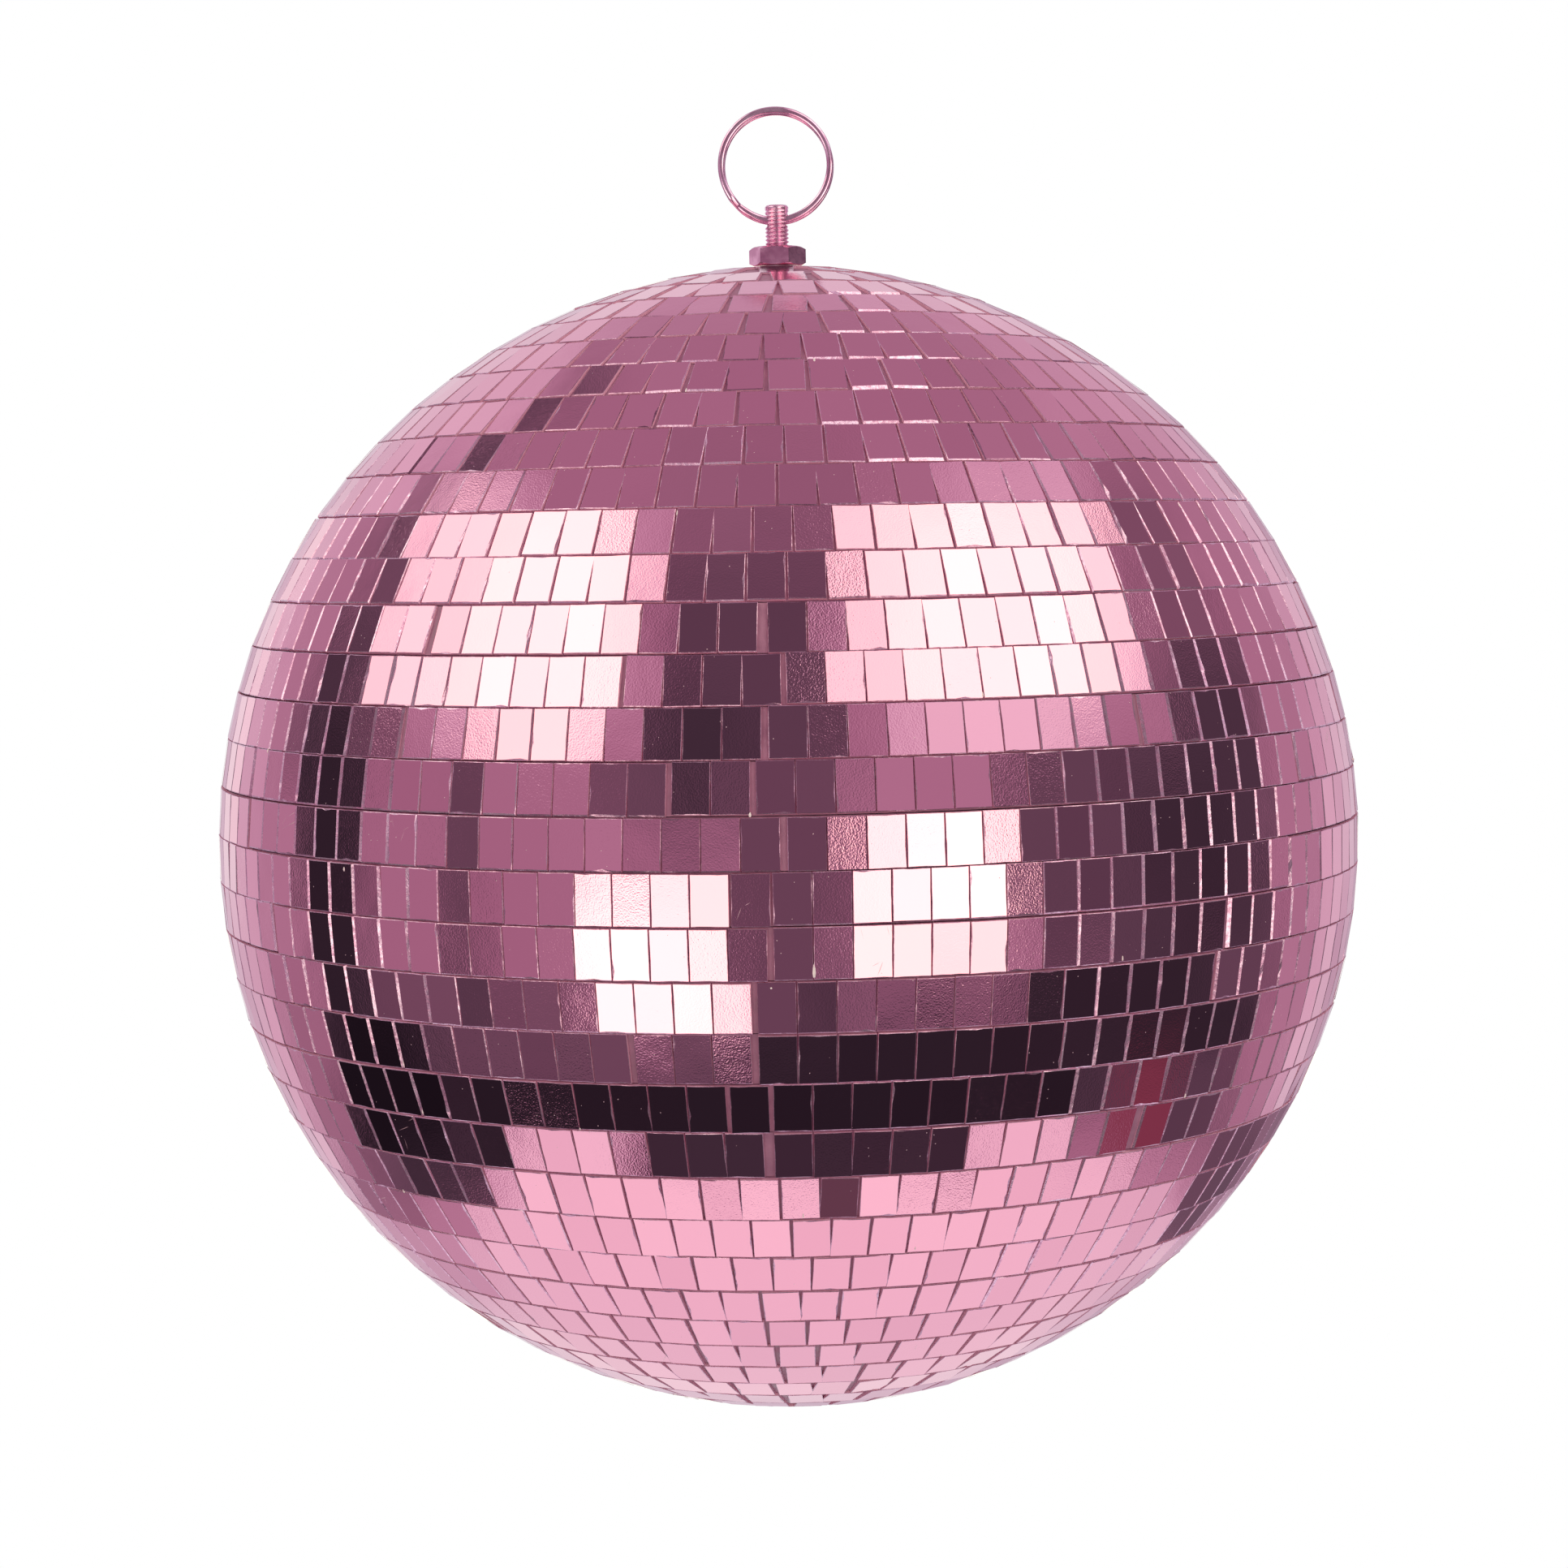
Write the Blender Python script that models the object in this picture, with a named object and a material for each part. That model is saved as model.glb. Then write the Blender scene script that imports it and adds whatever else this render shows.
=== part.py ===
"""Mirror ball on a threaded hanging stud with a two-coil split ring.

The origin is the centre of the stud's flat top face. +Z is up along the stud, which is also the
ball's axis. The split ring stands in the XZ plane and turns about the stud's cross hole, which
runs along X. Lengths are millimetres and angles degrees; lengths become metres as each solid is
made. Heights are above the ball's centre. A name ending in _Z with two values is (bottom, top),
and a _TURN is the angle about Z from +X to a first corner.
"""

import math

import bmesh
import bpy
from mathutils import Matrix, Vector

MM = 0.001
STACK_GAP = 0.2           # clearance between parts that sit one on another

# ---- mirror ----
BALL_R = 150.0            # corners of the mirror facets lie on this sphere
TILE_T = 2.9              # glass, adhesive and backing together
ROWS_EACH_SIDE = 18       # rows above and below the equator row
ROW_PITCH = 4.74          # latitude from one row to the next
ROW_GAP = 0.50            # open joint between two rows
ROW_TURN = 47             # each row is turned this much from the one below
TILE_W = 8.62             # one tile, across
TILE_PITCH = 8.95         # tile and joint, along the equator
CORNER_GAP = 0.14         # least room between two tiles' corners at a row's narrow edge
TILES_PER_BACK = 3        # tiles to one of the coarser facets inside a row
BACK_CHORD_SAG = 0.38     # how far those facets may stray towards the next row
MIN_BACKS = 14
CROWN_OPEN_R = 7.4        # opening in the top row, at the mirror face
CROWN_LIFT = 0.5          # the top row stands this much proud of the sphere
CROWN_LIFT_ROWS = 4       # rows over which the lift builds up
CAP_SEGS = 14
CAP_TURN = 9.0
HALF_JOINT = math.degrees(ROW_GAP / BALL_R) / 2   # half the joint, as latitude

# ---- core ----
CORE_R = 146.2
CORE_WALL = 3.0
CORE_INNER_R = CORE_R - CORE_WALL
CORE_SEGS = 32
CORE_RINGS = 8            # steps of latitude in each half
SEAM_GAP = 0.3            # between the upper and lower halves
NECK_R = 6.9
NECK_TOP = 148.35
BUSH_HOLE_R = 5.0

BAND_R = 141.7
BAND_T = 1.5
BAND_H = 18.0

BUSH_R = 4.8
BUSH_BORE_R = 3.3
BUSH_FLANGE_R = 6.7
BUSH_FLANGE_Z = (148.6, 149.4)
BUSH_BOTTOM = 137.4
BUSH_EDGE = 0.2           # chamfer on the flange rim
BUSH_BORE_EDGE = 0.3      # chamfer at the top of the bore

# ---- support plate and its screws ----
PLATE_R = 28.0
PLATE_Z = (137.6, 139.6)
PLATE_EDGE = 0.3
PLATE_HOLE_R = 1.75
SCREW_PCR = 19.5          # radius of the circle the screws stand on
SCREW_CENTRES = [
    (SCREW_PCR * math.cos(math.radians(angle)), SCREW_PCR * math.sin(math.radians(angle)))
    for angle in (90, 210, 330)
]
SCREW_HEAD_R = 3.0
SCREW_FACE_R = SCREW_HEAD_R * 0.72    # flat underside of the head
SCREW_HEAD_H = 2.0
SCREW_RIM_H = 1.1                     # straight part of the head
SCREW_SHANK_R = 1.25
SCREW_TOP = 143.0
SCREW_TIP_H = 0.9
SCREW_TIP_R = 0.35
SCREW_TURN = 5.0
SLOT_SIZE = (3.2, 0.7, 2.4)           # one arm of the cross recess, centred on the underside
BOSS_R = 3.6
BOSS_Z = (139.85, 142.6)
PILOT_R = 1.5
PILOT_Z = (BOSS_Z[0] - 2, SCREW_TOP + 0.35)
PEG_TURN = 6.0                        # bosses and screw holes

# ---- nuts and washers ----
NUT_AF = 13.0             # across flats
NUT_BORE_R = 3.22
NUT_CHAMFER_START = 0.955             # share of the flats' radius where the corners' chamfer begins
NUT_CHAMFER_ANGLE = 30.0
NUT_COUNTERSINK = 0.55
LOCK_NUT_TURN = -7.2
INNER_NUT_TURN = 12.0
JAM_NUT_TURN = 33.0
WASHER_BORE_R = NUT_BORE_R + 0.05
WASHER_EDGE = 0.15
CROWN_WASHER_R = 6.8
THRUST_WASHER_R = 9.5


def on_top(height, thickness):
    """(bottom, top) of a part resting above a height, with clearance."""
    return height + STACK_GAP, height + STACK_GAP + thickness


def hung_below(height, thickness):
    """(bottom, top) of a part lying under a height, with clearance."""
    return height - STACK_GAP - thickness, height - STACK_GAP


CROWN_WASHER_Z = on_top(BUSH_FLANGE_Z[1], 0.9)
LOCK_NUT_Z = on_top(CROWN_WASHER_Z[1], 5.0)
THRUST_WASHER_Z = (135.9, 137.1)
INNER_NUT_Z = hung_below(THRUST_WASHER_Z[0], 6.4)
JAM_NUT_Z = hung_below(INNER_NUT_Z[0], 4.2)

# ---- stud ----
STUD_R = 3.1              # thread crests
STUD_ROOT_R = 2.6         # thread roots
STUD_TOP = 166.5
STUD_BOTTOM = 121.5
STUD_TURN = 7.5
STUD_BOTTOM_CHAMFER = 0.6
STUD_TOP_CHAMFER = (0.45, 0.55)       # across, down
THREAD_PITCH = 1.0
THREAD_BOTTOM = LOCK_NUT_Z[1] + STACK_GAP
THREAD_RUNOUT = 0.7       # least length left above the grooves
GROOVE_ROOT = 0.5         # root, top edge and next lower edge of a groove, in pitches from its base
GROOVE_TOP = 0.92
NEXT_GROOVE = 1.08
CROSS_HOLE_Z = 162.45
CROSS_HOLE_R = 1.95

# ---- split ring; angles run from +X towards +Z ----
RING_MEAN_R = 14.25
RING_WIRE = 1.75          # across the wire in the ring's plane
RING_WIRE_T = 1.35        # across the wire along the ring's axis
RING_WIRE_CHAMFER = 0.30
RING_COIL_GAP = 0.22
RING_SEGS = 48            # per turn
RING_JOG_AT = 224.0       # middle of the crossing from one coil to the other
RING_JOG_SPAN = 22.0
RING_JOG_STEPS = 6
RING_END_REACH = 0.45 * RING_JOG_SPAN - 2.5   # how far a wire end reaches into the crossing's span
RING_END_CLEAR = 1.0      # least angle between a coil's end and its nearest regular station

FINISHES = {
    "mirror": dict(colour=(0.86, 0.55, 0.68, 1.0), metallic=1.0, roughness=0.04),
    "core": dict(colour=(0.09, 0.05, 0.07, 1.0), metallic=0.0, roughness=0.55),
    "steel": dict(colour=(0.70, 0.48, 0.56, 1.0), metallic=1.0, roughness=0.25),
    "inner_steel": dict(colour=(0.60, 0.60, 0.62, 1.0), metallic=1.0, roughness=0.35),
    "nylon": dict(colour=(0.80, 0.78, 0.72, 1.0), metallic=0.0, roughness=0.5),
}


# ---- scene, materials and objects ----
def clear_scene():
    for ob in list(bpy.data.objects):
        bpy.data.objects.remove(ob, do_unlink=True)
    for block in (bpy.data.meshes, bpy.data.materials, bpy.data.curves):
        for item in list(block):
            block.remove(item)


def material(name, colour, metallic, roughness):
    mat = bpy.data.materials.new(name)
    mat.use_nodes = True
    mat.diffuse_color = colour
    bsdf = mat.node_tree.nodes["Principled BSDF"]
    bsdf.inputs["Base Color"].default_value = colour
    bsdf.inputs["Metallic"].default_value = metallic
    bsdf.inputs["Roughness"].default_value = roughness
    return mat


def link_mesh(name, bm, origin=(0.0, 0.0, 0.0)):
    """Turn bm, in metres from the scene's origin, into an object with its own origin."""
    bmesh.ops.recalc_face_normals(bm, faces=bm.faces)
    mesh = bpy.data.meshes.new(name)
    bm.transform(Matrix.Translation(-Vector(origin)))
    bm.to_mesh(mesh)
    bm.free()
    ob = bpy.data.objects.new(name, mesh)
    ob.location = origin
    bpy.context.scene.collection.objects.link(ob)
    return ob


def shade(mesh, angle):
    """Smooth shading, with edges steeper than the angle kept sharp."""
    for poly in mesh.polygons:
        poly.use_smooth = True
    mesh.set_sharp_from_angle(angle=math.radians(angle))


def add_object(name, bm, finish, parent, smooth=None, origin=None):
    """A finished piece; its origin is its parent's unless one is given."""
    ob = link_mesh(name, bm, parent.location if origin is None else origin)
    ob.data.materials.append(material(name, **FINISHES[finish]))
    if smooth is not None:
        shade(ob.data, smooth)
    ob.parent = parent
    ob.matrix_parent_inverse = Matrix.Translation(-Vector(parent.location))
    return ob


def axis_empty(name, height):
    ob = bpy.data.objects.new(name, None)
    ob.location = (0, 0, up(height))
    ob.empty_display_size = 0.02
    bpy.context.scene.collection.objects.link(ob)
    return ob


# ---- solids ----
def up(z):
    """Height above the ball's centre, mm, to metres from the scene's origin."""
    return (z - STUD_TOP) * MM


def add_ring(bm, r, z, count, turn, centre=(0.0, 0.0)):
    """Level ring of vertices about a vertical axis."""
    ring = []
    for i in range(count):
        a = math.radians(turn) + 2 * math.pi * i / count
        x = centre[0] + r * math.cos(a)
        y = centre[1] + r * math.sin(a)
        ring.append(bm.verts.new((x * MM, y * MM, up(z))))
    return ring


def bridge(bm, ring, following):
    """Quads between two rings of equal count."""
    for i in range(len(ring)):
        j = (i + 1) % len(ring)
        bm.faces.new((ring[i], ring[j], following[j], following[i]))


def lathe(profile, segs, centre=(0.0, 0.0), turn=0.0):
    """Closed (r, z) profile about a vertical axis; points on the axis become single vertices."""
    bm = bmesh.new()
    rings = []
    for r, z in profile:
        if r < 1e-6:
            rings.append([bm.verts.new((centre[0] * MM, centre[1] * MM, up(z)))])
        else:
            rings.append(add_ring(bm, r, z, segs, turn, centre))
    for ring, following in zip(rings, rings[1:] + rings[:1]):
        if len(ring) > 1 and len(following) > 1:
            bridge(bm, ring, following)
        elif len(following) > 1:
            for i in range(segs):
                bm.faces.new((ring[0], following[(i + 1) % segs], following[i]))
        elif len(ring) > 1:
            for i in range(segs):
                bm.faces.new((ring[i], ring[(i + 1) % segs], following[0]))
    return bm


def peg(r, z0, z1, segs, centre):
    """Upright cylinder for a boolean."""
    profile = [(0, z0), (r, z0), (r, z1), (0, z1)]
    return link_mesh("peg", lathe(profile, segs, centre, PEG_TURN))


def boolean(ob, operation, cutters):
    """Apply exact booleans at once and take the cutters away."""
    for cutter in cutters:
        mod = ob.modifiers.new("cut", "BOOLEAN")
        mod.operation = operation
        mod.solver = "EXACT"
        mod.object = cutter
    bpy.context.view_layer.update()
    depsgraph = bpy.context.evaluated_depsgraph_get()
    mesh = bpy.data.meshes.new_from_object(ob.evaluated_get(depsgraph))
    ob.modifiers.clear()
    old = ob.data
    ob.data = mesh
    mesh.name = ob.name
    bpy.data.meshes.remove(old)
    for cutter in cutters:
        bpy.data.objects.remove(cutter, do_unlink=True)


def tidy(ob, smooth):
    """Merge the stray vertices a boolean leaves, then shade."""
    bm = bmesh.new()
    bm.from_mesh(ob.data)
    bmesh.ops.remove_doubles(bm, verts=bm.verts, dist=2e-7)
    bmesh.ops.recalc_face_normals(bm, faces=bm.faces)
    bm.to_mesh(ob.data)
    bm.free()
    shade(ob.data, smooth)


# ---- mirror rows; latitudes in radians ----
def tiles_in_row(lat):
    """How many square-cornered tiles fit round a row, limited by its narrow edge near the poles."""
    edge = abs(lat) + math.radians(ROW_PITCH / 2)
    need = (TILE_W + CORNER_GAP) * math.cos(lat) / math.cos(edge)
    return int(2 * math.pi * BALL_R * math.cos(lat) / max(TILE_PITCH, need))


def back_facets(lat):
    """Facets inside a row: fewer than the tiles, but no chord may reach the next row."""
    count = round(tiles_in_row(lat) / TILES_PER_BACK)
    # a chord strays by lever * (1 - cos(pi / count)); the lever vanishes at the equator
    lever = 0.5 * BALL_R * math.sin(2 * abs(lat))
    if lever > 2 * BACK_CHORD_SAG:
        count = max(count, math.ceil(math.pi / math.acos(1 - BACK_CHORD_SAG / lever)))
    return max(count, MIN_BACKS)


def stitch(bm, many, few):
    """Close the side of a row between its outer ring and its coarser inner ring."""
    n, m = len(many), len(few)
    i = j = 0
    while i < n or j < m:
        if j >= m or (i < n and (i + 0.5) / n <= (j + 0.5) / m):
            bm.faces.new((many[i % n], many[(i + 1) % n], few[j % m]))
            i += 1
        else:
            bm.faces.new((many[i % n], few[(j + 1) % m], few[j % m]))
            j += 1


def row_band(radius, lats, tiles, backs, turn):
    """Closed ring between two latitudes: a flat facet for each tile outside, coarser inside."""
    bm = bmesh.new()
    outer, inner = [
        [add_ring(bm, r * math.cos(lat), r * math.sin(lat), count, turn) for lat in lats]
        for r, count in ((radius, tiles), (radius - TILE_T, backs))
    ]
    bridge(bm, *outer)
    bridge(bm, *inner)
    for many, few in zip(outer, inner):
        stitch(bm, many, few)
    return bm


def mirror_row(i, parent):
    """Row i, counted up from the equator."""
    low = (i - 0.5) * ROW_PITCH + HALF_JOINT
    high = (i + 0.5) * ROW_PITCH - HALF_JOINT
    if i == ROWS_EACH_SIDE:
        high = 90.0 - math.degrees(math.asin(CROWN_OPEN_R / BALL_R))
    middle = math.radians((low + high) / 2)
    backs = back_facets(middle)
    tiles = max(tiles_in_row(middle), backs)
    lift_step = max(i - (ROWS_EACH_SIDE - CROWN_LIFT_ROWS), 0)
    radius = BALL_R + CROWN_LIFT * lift_step / CROWN_LIFT_ROWS
    sign = "p" if i > 0 else "n" if i < 0 else ""
    lats = (math.radians(low), math.radians(high))
    bm = row_band(radius, lats, tiles, backs, turn=(i * ROW_TURN) % 360)
    add_object("mirror_row_%s%02d" % (sign, abs(i)), bm, "mirror", parent)


def mirror_cap_bottom(parent):
    """Flat disc closing the lowest row."""
    from_pole = math.radians(90.0 - (ROWS_EACH_SIDE + 0.5) * ROW_PITCH - HALF_JOINT)
    (r0, z0), (r1, z1) = [
        (r * math.sin(from_pole), -r * math.cos(from_pole)) for r in (BALL_R, BALL_R - TILE_T)
    ]
    bm = lathe([(0, z0), (r0, z0), (r1, z1), (0, z1)], CAP_SEGS, turn=CAP_TURN)
    add_object("mirror_cap_bottom", bm, "mirror", parent)


# ---- core ----
def arc(radius, lat_from, lat_to):
    """(r, z) points along a meridian."""
    points = []
    for k in range(CORE_RINGS + 1):
        lat = math.radians(lat_from + (lat_to - lat_from) * k / CORE_RINGS)
        points.append((radius * math.cos(lat), radius * math.sin(lat)))
    return points


def seam_lat(radius):
    """Latitude of the upper half's edge at the seam."""
    return math.degrees(math.asin(SEAM_GAP / 2 / radius))


def core_upper(parent):
    """Upper half with its neck, and three bosses drilled for the plate screws."""
    neck_lat = math.degrees(math.acos(NECK_R / CORE_R))
    hole_lat = math.degrees(math.acos(BUSH_HOLE_R / CORE_INNER_R))
    profile = arc(CORE_R, seam_lat(CORE_R), neck_lat)
    profile += [(NECK_R, NECK_TOP), (BUSH_HOLE_R, NECK_TOP)]
    profile += arc(CORE_INNER_R, hole_lat, seam_lat(CORE_INNER_R))
    ob = add_object("core_upper", lathe(profile, CORE_SEGS), "core", parent)
    boolean(ob, "UNION", [peg(BOSS_R, *BOSS_Z, 16, centre) for centre in SCREW_CENTRES])
    boolean(ob, "DIFFERENCE", [peg(PILOT_R, *PILOT_Z, 12, centre) for centre in SCREW_CENTRES])
    tidy(ob, smooth=25)


def core_lower(parent):
    profile = arc(CORE_INNER_R, -seam_lat(CORE_INNER_R), -90)
    profile += arc(CORE_R, -90, -seam_lat(CORE_R))
    add_object("core_lower", lathe(profile, CORE_SEGS), "core", parent, smooth=25)


def joint_band(parent):
    """Hoop inside the core, across the seam."""
    inner, half = BAND_R - BAND_T, BAND_H / 2
    profile = [(inner, -half), (BAND_R, -half), (BAND_R, half), (inner, half)]
    add_object("joint_band", lathe(profile, CORE_SEGS), "core", parent, smooth=25)


def crown_bush(parent):
    """Flanged sleeve between the neck and the stud."""
    z0, z1 = BUSH_FLANGE_Z
    profile = [
        (BUSH_BORE_R, BUSH_BOTTOM), (BUSH_R, BUSH_BOTTOM), (BUSH_R, z0), (BUSH_FLANGE_R, z0),
        (BUSH_FLANGE_R, z1 - BUSH_EDGE), (BUSH_FLANGE_R - BUSH_EDGE, z1),
        (BUSH_BORE_R + BUSH_BORE_EDGE, z1), (BUSH_BORE_R, z1 - BUSH_BORE_EDGE),
    ]
    add_object("crown_bush", lathe(profile, 24), "nylon", parent, smooth=30)


def disc_profile(bore_r, rim_r, z, edge):
    """Flat disc with a bore and a chamfered rim."""
    z0, z1 = z
    return [
        (bore_r, z0), (rim_r - edge, z0), (rim_r, z0 + edge),
        (rim_r, z1 - edge), (rim_r - edge, z1), (bore_r, z1),
    ]


def support_plate(parent):
    profile = disc_profile(BUSH_HOLE_R, PLATE_R, PLATE_Z, PLATE_EDGE)
    ob = add_object("support_plate", lathe(profile, 32), "inner_steel", parent)
    z0, z1 = PLATE_Z
    holes = [peg(PLATE_HOLE_R, z0 - 1, z1 + 1, 12, centre) for centre in SCREW_CENTRES]
    boolean(ob, "DIFFERENCE", holes)
    tidy(ob, smooth=35)


def slot_cutter(centre, z, turn):
    bm = bmesh.new()
    bmesh.ops.create_cube(bm, size=1.0)
    bm.transform(Matrix.Diagonal([size * MM for size in SLOT_SIZE] + [1.0]))
    bm.transform(Matrix.Rotation(turn, 4, "Z"))
    bm.transform(Matrix.Translation((centre[0] * MM, centre[1] * MM, up(z))))
    return link_mesh("slot", bm)


def plate_screw(number, centre, parent):
    """Screw pointing up, its cross-recessed head under the plate."""
    head_top = PLATE_Z[0] - STACK_GAP
    head_bottom = head_top - SCREW_HEAD_H
    profile = [
        (0, head_bottom), (SCREW_FACE_R, head_bottom),
        (SCREW_HEAD_R, head_top - SCREW_RIM_H), (SCREW_HEAD_R, head_top),
        (SCREW_SHANK_R, head_top), (SCREW_SHANK_R, SCREW_TOP - SCREW_TIP_H),
        (SCREW_TIP_R, SCREW_TOP), (0, SCREW_TOP),
    ]
    bm = lathe(profile, 16, centre, SCREW_TURN)
    origin = (centre[0] * MM, centre[1] * MM, up(head_top))
    ob = add_object("plate_screw_%d" % number, bm, "inner_steel", parent, origin=origin)
    slots = [slot_cutter(centre, head_bottom, turn) for turn in (0.0, math.pi / 2)]
    boolean(ob, "DIFFERENCE", slots)
    tidy(ob, smooth=35)


# ---- hanger ----
def hex_nut(name, z, turn, parent, finish):
    """Hexagon with its corners chamfered by a double cone and its bore countersunk."""
    z0, z1 = z
    corner_r = NUT_AF / 2 / math.cos(math.radians(30))
    hexagon = lathe([(0, z0), (corner_r, z0), (corner_r, z1), (0, z1)], 6, turn=turn)
    ob = add_object(name, hexagon, finish, parent)

    face_r = NUT_AF / 2 * NUT_CHAMFER_START
    reach = corner_r + 1.0
    rise = (reach - face_r) * math.tan(math.radians(NUT_CHAMFER_ANGLE))
    cone = [(0, z0), (face_r, z0), (reach, z0 + rise), (reach, z1 - rise), (face_r, z1), (0, z1)]
    boolean(ob, "INTERSECT", [link_mesh("cone", lathe(cone, 24, turn=turn))])

    overrun = 1           # the cutter passes each face by this much
    mouth_r = NUT_BORE_R + NUT_COUNTERSINK + overrun
    bore = [
        (0, z0 - overrun), (mouth_r, z0 - overrun), (NUT_BORE_R, z0 + NUT_COUNTERSINK),
        (NUT_BORE_R, z1 - NUT_COUNTERSINK), (mouth_r, z1 + overrun), (0, z1 + overrun),
    ]
    boolean(ob, "DIFFERENCE", [link_mesh("bore", lathe(bore, 18, turn=turn))])
    tidy(ob, smooth=28)


def washer(name, rim_r, z, parent, finish):
    profile = disc_profile(WASHER_BORE_R, rim_r, z, WASHER_EDGE)
    add_object(name, lathe(profile, 20), finish, parent, smooth=30)


def hanger_stud(parent):
    """Rod at crest size, plain up to just above the lock nut, ring-grooved beyond, cross-drilled."""
    across, down = STUD_TOP_CHAMFER
    profile = [
        (0, STUD_BOTTOM), (STUD_R - STUD_BOTTOM_CHAMFER, STUD_BOTTOM),
        (STUD_R, STUD_BOTTOM + STUD_BOTTOM_CHAMFER), (STUD_R, THREAD_BOTTOM),
    ]
    grooves = int((STUD_TOP - THREAD_RUNOUT - THREAD_BOTTOM) / THREAD_PITCH)
    for k in range(grooves):
        base = THREAD_BOTTOM + k * THREAD_PITCH
        profile.append((STUD_ROOT_R, base + GROOVE_ROOT * THREAD_PITCH))
        profile.append((STUD_R, base + GROOVE_TOP * THREAD_PITCH))
        if k < grooves - 1:
            profile.append((STUD_R, base + NEXT_GROOVE * THREAD_PITCH))
    profile += [(STUD_R, STUD_TOP - down), (STUD_R - across, STUD_TOP), (0, STUD_TOP)]
    ob = add_object("hanger_stud", lathe(profile, 24, turn=STUD_TURN), "steel", parent)

    hole = bmesh.new()
    radius = CROSS_HOLE_R * MM
    bmesh.ops.create_cone(
        hole, cap_ends=True, segments=20, radius1=radius, radius2=radius, depth=12.0 * MM)
    hole.transform(Matrix.Rotation(math.pi / 2, 4, "Y"))
    hole.transform(Matrix.Translation((0, 0, up(CROSS_HOLE_Z))))
    boolean(ob, "DIFFERENCE", [link_mesh("cross_hole", hole)])
    tidy(ob, smooth=30)


# ---- split ring ----
def coil_angles(start, stop):
    """Both ends of a coil and the regular half-step stations between them."""
    step = 360.0 / RING_SEGS
    angles = [start]
    angle = math.ceil((start + RING_END_CLEAR) / step - 0.5) * step + step / 2
    while angle < stop - RING_END_CLEAR:
        angles.append(angle)
        angle += step
    return angles + [stop]


def ring_stations():
    """(angle, y) along the wire: the -Y coil, the crossing, then the +Y coil."""
    offset = RING_WIRE_T / 2 + RING_COIL_GAP / 2
    jog_start = RING_JOG_AT - RING_JOG_SPAN / 2
    jog_end = RING_JOG_AT + RING_JOG_SPAN / 2
    first = coil_angles(jog_end - RING_END_REACH, jog_start + 360.0)
    second = coil_angles(jog_end + 360.0, jog_start + 720.0 + RING_END_REACH)
    stations = [(angle, -offset) for angle in first]
    for k in range(1, RING_JOG_STEPS):
        t = k / RING_JOG_STEPS
        ease = t * t * (3 - 2 * t)
        stations.append((jog_start + 360.0 + RING_JOG_SPAN * t, -offset + 2 * offset * ease))
    return stations + [(angle, offset) for angle in second]


def split_ring(parent):
    """One wire wound twice: flattened octagonal section, two flat coils and a short crossing."""
    h = RING_WIRE / 2
    w = RING_WIRE_T / 2
    c = RING_WIRE_CHAMFER
    # (outward from the mean radius, along y)
    section = [
        (-h + c, -w), (h - c, -w), (h, -w + c), (h, w - c),
        (h - c, w), (-h + c, w), (-h, w - c), (-h, -w + c),
    ]
    centre_z = CROSS_HOLE_Z + RING_MEAN_R
    bm = bmesh.new()
    rings = []
    for angle, y in ring_stations():
        a = math.radians(angle)
        ring = []
        for outward, along in section:
            r = RING_MEAN_R + outward
            where = (r * math.cos(a) * MM, (y + along) * MM, up(centre_z + r * math.sin(a)))
            ring.append(bm.verts.new(where))
        rings.append(ring)
    for ring, following in zip(rings, rings[1:]):
        bridge(bm, ring, following)
    bm.faces.new(rings[0])
    bm.faces.new(list(reversed(rings[-1])))
    add_object("split_ring", bm, "steel", parent, smooth=25)


def main():
    clear_scene()
    hanger = axis_empty("hanger_frame", STUD_TOP)
    spin = axis_empty("ball_spin_axis", 0)
    hinge = axis_empty("ring_hinge_axis", CROSS_HOLE_Z)

    hanger_stud(hanger)
    hex_nut("lock_nut", LOCK_NUT_Z, LOCK_NUT_TURN, hanger, "steel")
    washer("crown_washer", CROWN_WASHER_R, CROWN_WASHER_Z, hanger, "steel")
    washer("thrust_washer", THRUST_WASHER_R, THRUST_WASHER_Z, hanger, "nylon")
    hex_nut("inner_nut", INNER_NUT_Z, INNER_NUT_TURN, hanger, "inner_steel")
    hex_nut("jam_nut", JAM_NUT_Z, JAM_NUT_TURN, hanger, "inner_steel")
    split_ring(hinge)

    core_upper(spin)
    core_lower(spin)
    joint_band(spin)
    support_plate(spin)
    for number, centre in enumerate(SCREW_CENTRES, start=1):
        plate_screw(number, centre, spin)
    crown_bush(spin)
    for i in range(-ROWS_EACH_SIDE, ROWS_EACH_SIDE + 1):
        mirror_row(i, spin)
    mirror_cap_bottom(spin)


main()
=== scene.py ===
"""Looks for a hanging mirror ball: every mirror tile as its own small glass plate, plated hanging
hardware, and a studio painted on the world by direction alone.

The ball's centre lies on the Z axis at BALL_Z. The camera looks from the front, -Y, a little above
the centre; +X is to its right. Azimuth is 0 at the front and grows towards +X; latitude grows
upwards. Lengths are in mm until they are written into meshes, angles in degrees unless noted.
"""
import math
import random
from types import SimpleNamespace

import bmesh
import bpy
from mathutils import Matrix, Vector


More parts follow.
